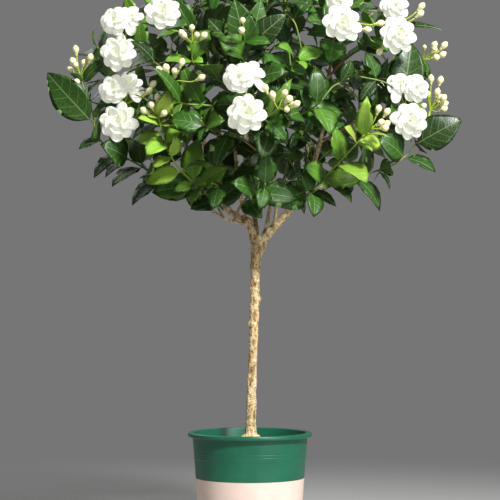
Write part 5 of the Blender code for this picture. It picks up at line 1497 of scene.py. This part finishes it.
class JASMINE_OT_foliage(bpy.types.Operator):
    """Leaves and green stems of every shoot, with the further ones that fill the crown"""

    bl_idname = "jasmine.foliage"
    bl_label = "Leaves and stems"

    def execute(self, context):
        settings = context.scene.jasmine_leaves
        looks = [leaf_material("leaf_upper", settings, False), leaf_material("leaf_under", settings, True),
                 stem_material(settings)]
        limbs, plans = crown_plans()
        grown = {plan["name"]: grown_leaves(plan) for plan in plans}
        for plan in plans:
            if not grown[plan["name"]]:
                raise RuntimeError(f"shoot {plan['name']} has none of the leaves of its plan")
            grown[plan["name"]] += further_leaves(plan)
        crown = Crown(plans, sum(grown.values(), []))
        for plan in plans:
            name, stems = plan["name"], stems_of(plan)
            for stem in stems:
                grown[name] += leaves_between(crown, stem)
            piece = leafy_piece(stems, grown[name], FRESH.get(name, FRESH_ELSEWHERE), settings)
            piece.make(f"leafy_{name}", looks, [f"shoot_{name}"])
        filling = filling_stems(limbs, plans, sum(grown.values(), []))
        for limb in limbs:
            stems = [stem for stem in filling if stem["limb"] == limb]
            leaves = [leaf for stem in stems for order, s in enumerate(stem["nodes"])
                      for leaf in first_clear(crown, stem, s, order, FILL_LEAF_LENGTH)]
            if stems:
                leafy_piece(stems, leaves, FRESH_INSIDE, settings).make(f"inner_shoots_{limb}", looks)
        return {"FINISHED"}


def leafy_piece(stems, leaves, fresh, settings):
    """Green stems with their leaves. Leaves near a shoot's end are the fresher ones."""
    for leaf in leaves:
        chance = draws(*leaf["key"][:3], 33)[0]
        full = OLD_SHARE if leaf["length"] > LARGE_LEAF else 1.0
        leaf["fresh"] = float(np.clip(full * fresh * (0.45 + 0.75 * leaf["share"]) + 0.16 * chance, 0, 1))
    piece = Piece()
    for large, rows, columns in ((True, LARGE_LEAF_ROW_SHARES, 8), (False, LEAF_ROW_SHARES, 4)):
        add_leaves(piece, [leaf for leaf in leaves if (leaf["length"] > LARGE_LEAF) == large], rows, columns,
                   settings)
    for stem in stems:
        add_stem(piece, stem, fresh * 0.6)
    return piece


class JASMINE_OT_buds(bpy.types.Operator):
    """Bud clusters with their calyxes and stalks, and the stalks of the blooms"""

    bl_idname = "jasmine.buds"
    bl_label = "Buds and flower stalks"

    def execute(self, context):
        settings = context.scene.jasmine_blooms
        bud, root = settings.bud_colour, settings.bud_root_colour
        # Buds take a faint painted glow in their own colour: an emission that brightens them as if light
        # passed through.
        looks = [petal_material("bud_petal", bud, root, bud, settings.bud_painted_glow), calyx_material(settings)]
        for plan in crown_plans()[1]:
            tip, tangent = plan["curve"][-1], plan["tangent"][-1]
            # Rows of stalks: end, its way, the way that the stalk leaves in, calyx and size of the bud.
            buds = [(tip + bud["way"] * bud["stalk"], bud["way"], tangent, BUD_CALYX, bud["size"])
                    for bud in bud_plans(plan)]
            further = [(foot, way, tangent + (foot - tip) / 0.03, FURTHER_CALYX, 1)
                       for foot, way in further_buds(plan)]
            seats = [(bloom["seat"], bloom["axis"]) for bloom in bloom_plans(plan)]
            blooms = [(seat, axis, tangent + 0.5 * unit(seat - tip), BLOOM_CALYX, 1) for seat, axis in seats]
            piece = Piece()
            for rows, length in ((buds, BUD_LENGTH), (further, FURTHER_BUD_LENGTH), (blooms, 0)):
                for k, (end, way, leaving, calyx, size) in enumerate(rows):
                    add_stalk(piece, tip, leaving, end, way, calyx, k)
                    if length:
                        add_bud(piece, end, way, length * size, settings.bud_radius * size)
            if piece.size:
                piece.make(f"flower_stalks_{plan['name']}", looks, slot="petal")
        return {"FINISHED"}


class JASMINE_OT_blooms(bpy.types.Operator):
    """Double white blooms"""

    bl_idname = "jasmine.blooms"
    bl_label = "Blooms"

    def execute(self, context):
        settings = context.scene.jasmine_blooms
        look = petal_material("white_petal", settings.petal_colour, settings.heart_colour,
                              settings.painted_glow_colour, settings.painted_glow)
        blooms = [(plan["name"], bloom) for plan in crown_plans()[1] for bloom in bloom_plans(plan)]
        for index, (shoot, bloom) in enumerate(blooms):
            piece = Piece()
            add_bloom(piece, bloom, index, settings)
            node = f"bloom_{shoot}_{bloom['form']}"
            piece.make(f"double_{node}", [look], [node], "petal")
        return {"FINISHED"}


class JASMINE_OT_stage(bpy.types.Operator):
    """Pale floor, soft lights, room light and the camera"""

    bl_idname = "jasmine.stage"
    bl_label = "Stage"

    def execute(self, context):
        settings = context.scene.jasmine_stage
        scene = context.scene
        floor_disc(settings)
        world = bpy.data.worlds.new("room")
        world.use_nodes = True
        plug(world.node_tree.nodes["Background"], {"Color": settings.room_colour})
        scene.world = world
        scene.view_settings.view_transform = "Standard"
        for name, place, size, power in LIGHTS:
            light = bpy.data.lights.new(name, "AREA")
            light.size = size
            light.energy = power
            aim = (Vector(LIGHT_TARGET) - Vector(place)).to_track_quat("-Z", "Y").to_euler()
            stand(scene, name, light, place, aim)
        lens = bpy.data.cameras.new("camera")
        lens.lens = settings.lens
        scene.camera = stand(scene, "camera", lens, (0, -settings.distance, settings.height),
                             (math.pi / 2 + settings.tilt, 0, 0))
        return {"FINISHED"}


def stand(scene, name, data, place, turn):
    """A lamp or camera at its place in the scene."""
    obj = bpy.data.objects.new(name, data)
    obj.location = place
    obj.rotation_euler = turn
    scene.collection.objects.link(obj)
    return obj


def floor_disc(settings):
    """A wide round floor that fades with distance into the even tone of the room."""
    piece = Piece()
    piece.add(*turned_shape(FLOOR_RADII, FLOOR_HEIGHTS, FLOOR_SIDES))
    made, add, place = new_material("painted_floor")
    surfaced(made, {"Base Color": settings.floor_colour, "Roughness": 0.9, "IOR": 1.45})
    away = add("VectorMath", {0: place}, "Value", operation="LENGTH")
    far = add("MapRange", {0: away, 1: 0.25, 2: 1.6, 3: 0.0, 4: 1.0}, interpolation_type="SMOOTHSTEP")
    nodes = made.node_tree.nodes
    mixed = add("MixShader", {0: far, 1: nodes["Principled BSDF"].outputs[0],
                              2: add("Emission", {"Color": settings.room_colour})})
    plug(nodes["Material Output"], {"Surface": mixed})
    piece.make("floor", [made])


class JASMINE_PT_panel(bpy.types.Panel):
    """Lists the steps that dress the plant"""

    bl_idname = "JASMINE_PT_panel"
    bl_label = "Potted jasmine"
    bl_space_type = "VIEW_3D"
    bl_region_type = "UI"
    bl_category = "Jasmine"

    def draw(self, context):
        for operator in OPERATORS:
            self.layout.operator(operator.bl_idname)


SETTINGS = {"jasmine_leaves": JasmineLeafSettings, "jasmine_blooms": JasmineBloomSettings,
            "jasmine_wood": JasmineWoodSettings, "jasmine_pot": JasminePotSettings,
            "jasmine_stage": JasmineStageSettings}
OPERATORS = (JASMINE_OT_pot, JASMINE_OT_soil, JASMINE_OT_wood, JASMINE_OT_foliage, JASMINE_OT_buds,
             JASMINE_OT_blooms, JASMINE_OT_stage)


def register():
    for made in (*SETTINGS.values(), *OPERATORS, JASMINE_PT_panel):
        bpy.utils.register_class(made)
    for name, made in SETTINGS.items():
        setattr(bpy.types.Scene, name, bpy.props.PointerProperty(type=made))


def unregister():
    for name in SETTINGS:
        delattr(bpy.types.Scene, name)
    for made in (*SETTINGS.values(), *OPERATORS, JASMINE_PT_panel):
        bpy.utils.unregister_class(made)


def main():
    register()
    for operator in OPERATORS:
        getattr(bpy.ops.jasmine, operator.bl_idname.partition(".")[2])()


if __name__ == "__main__":
    main()
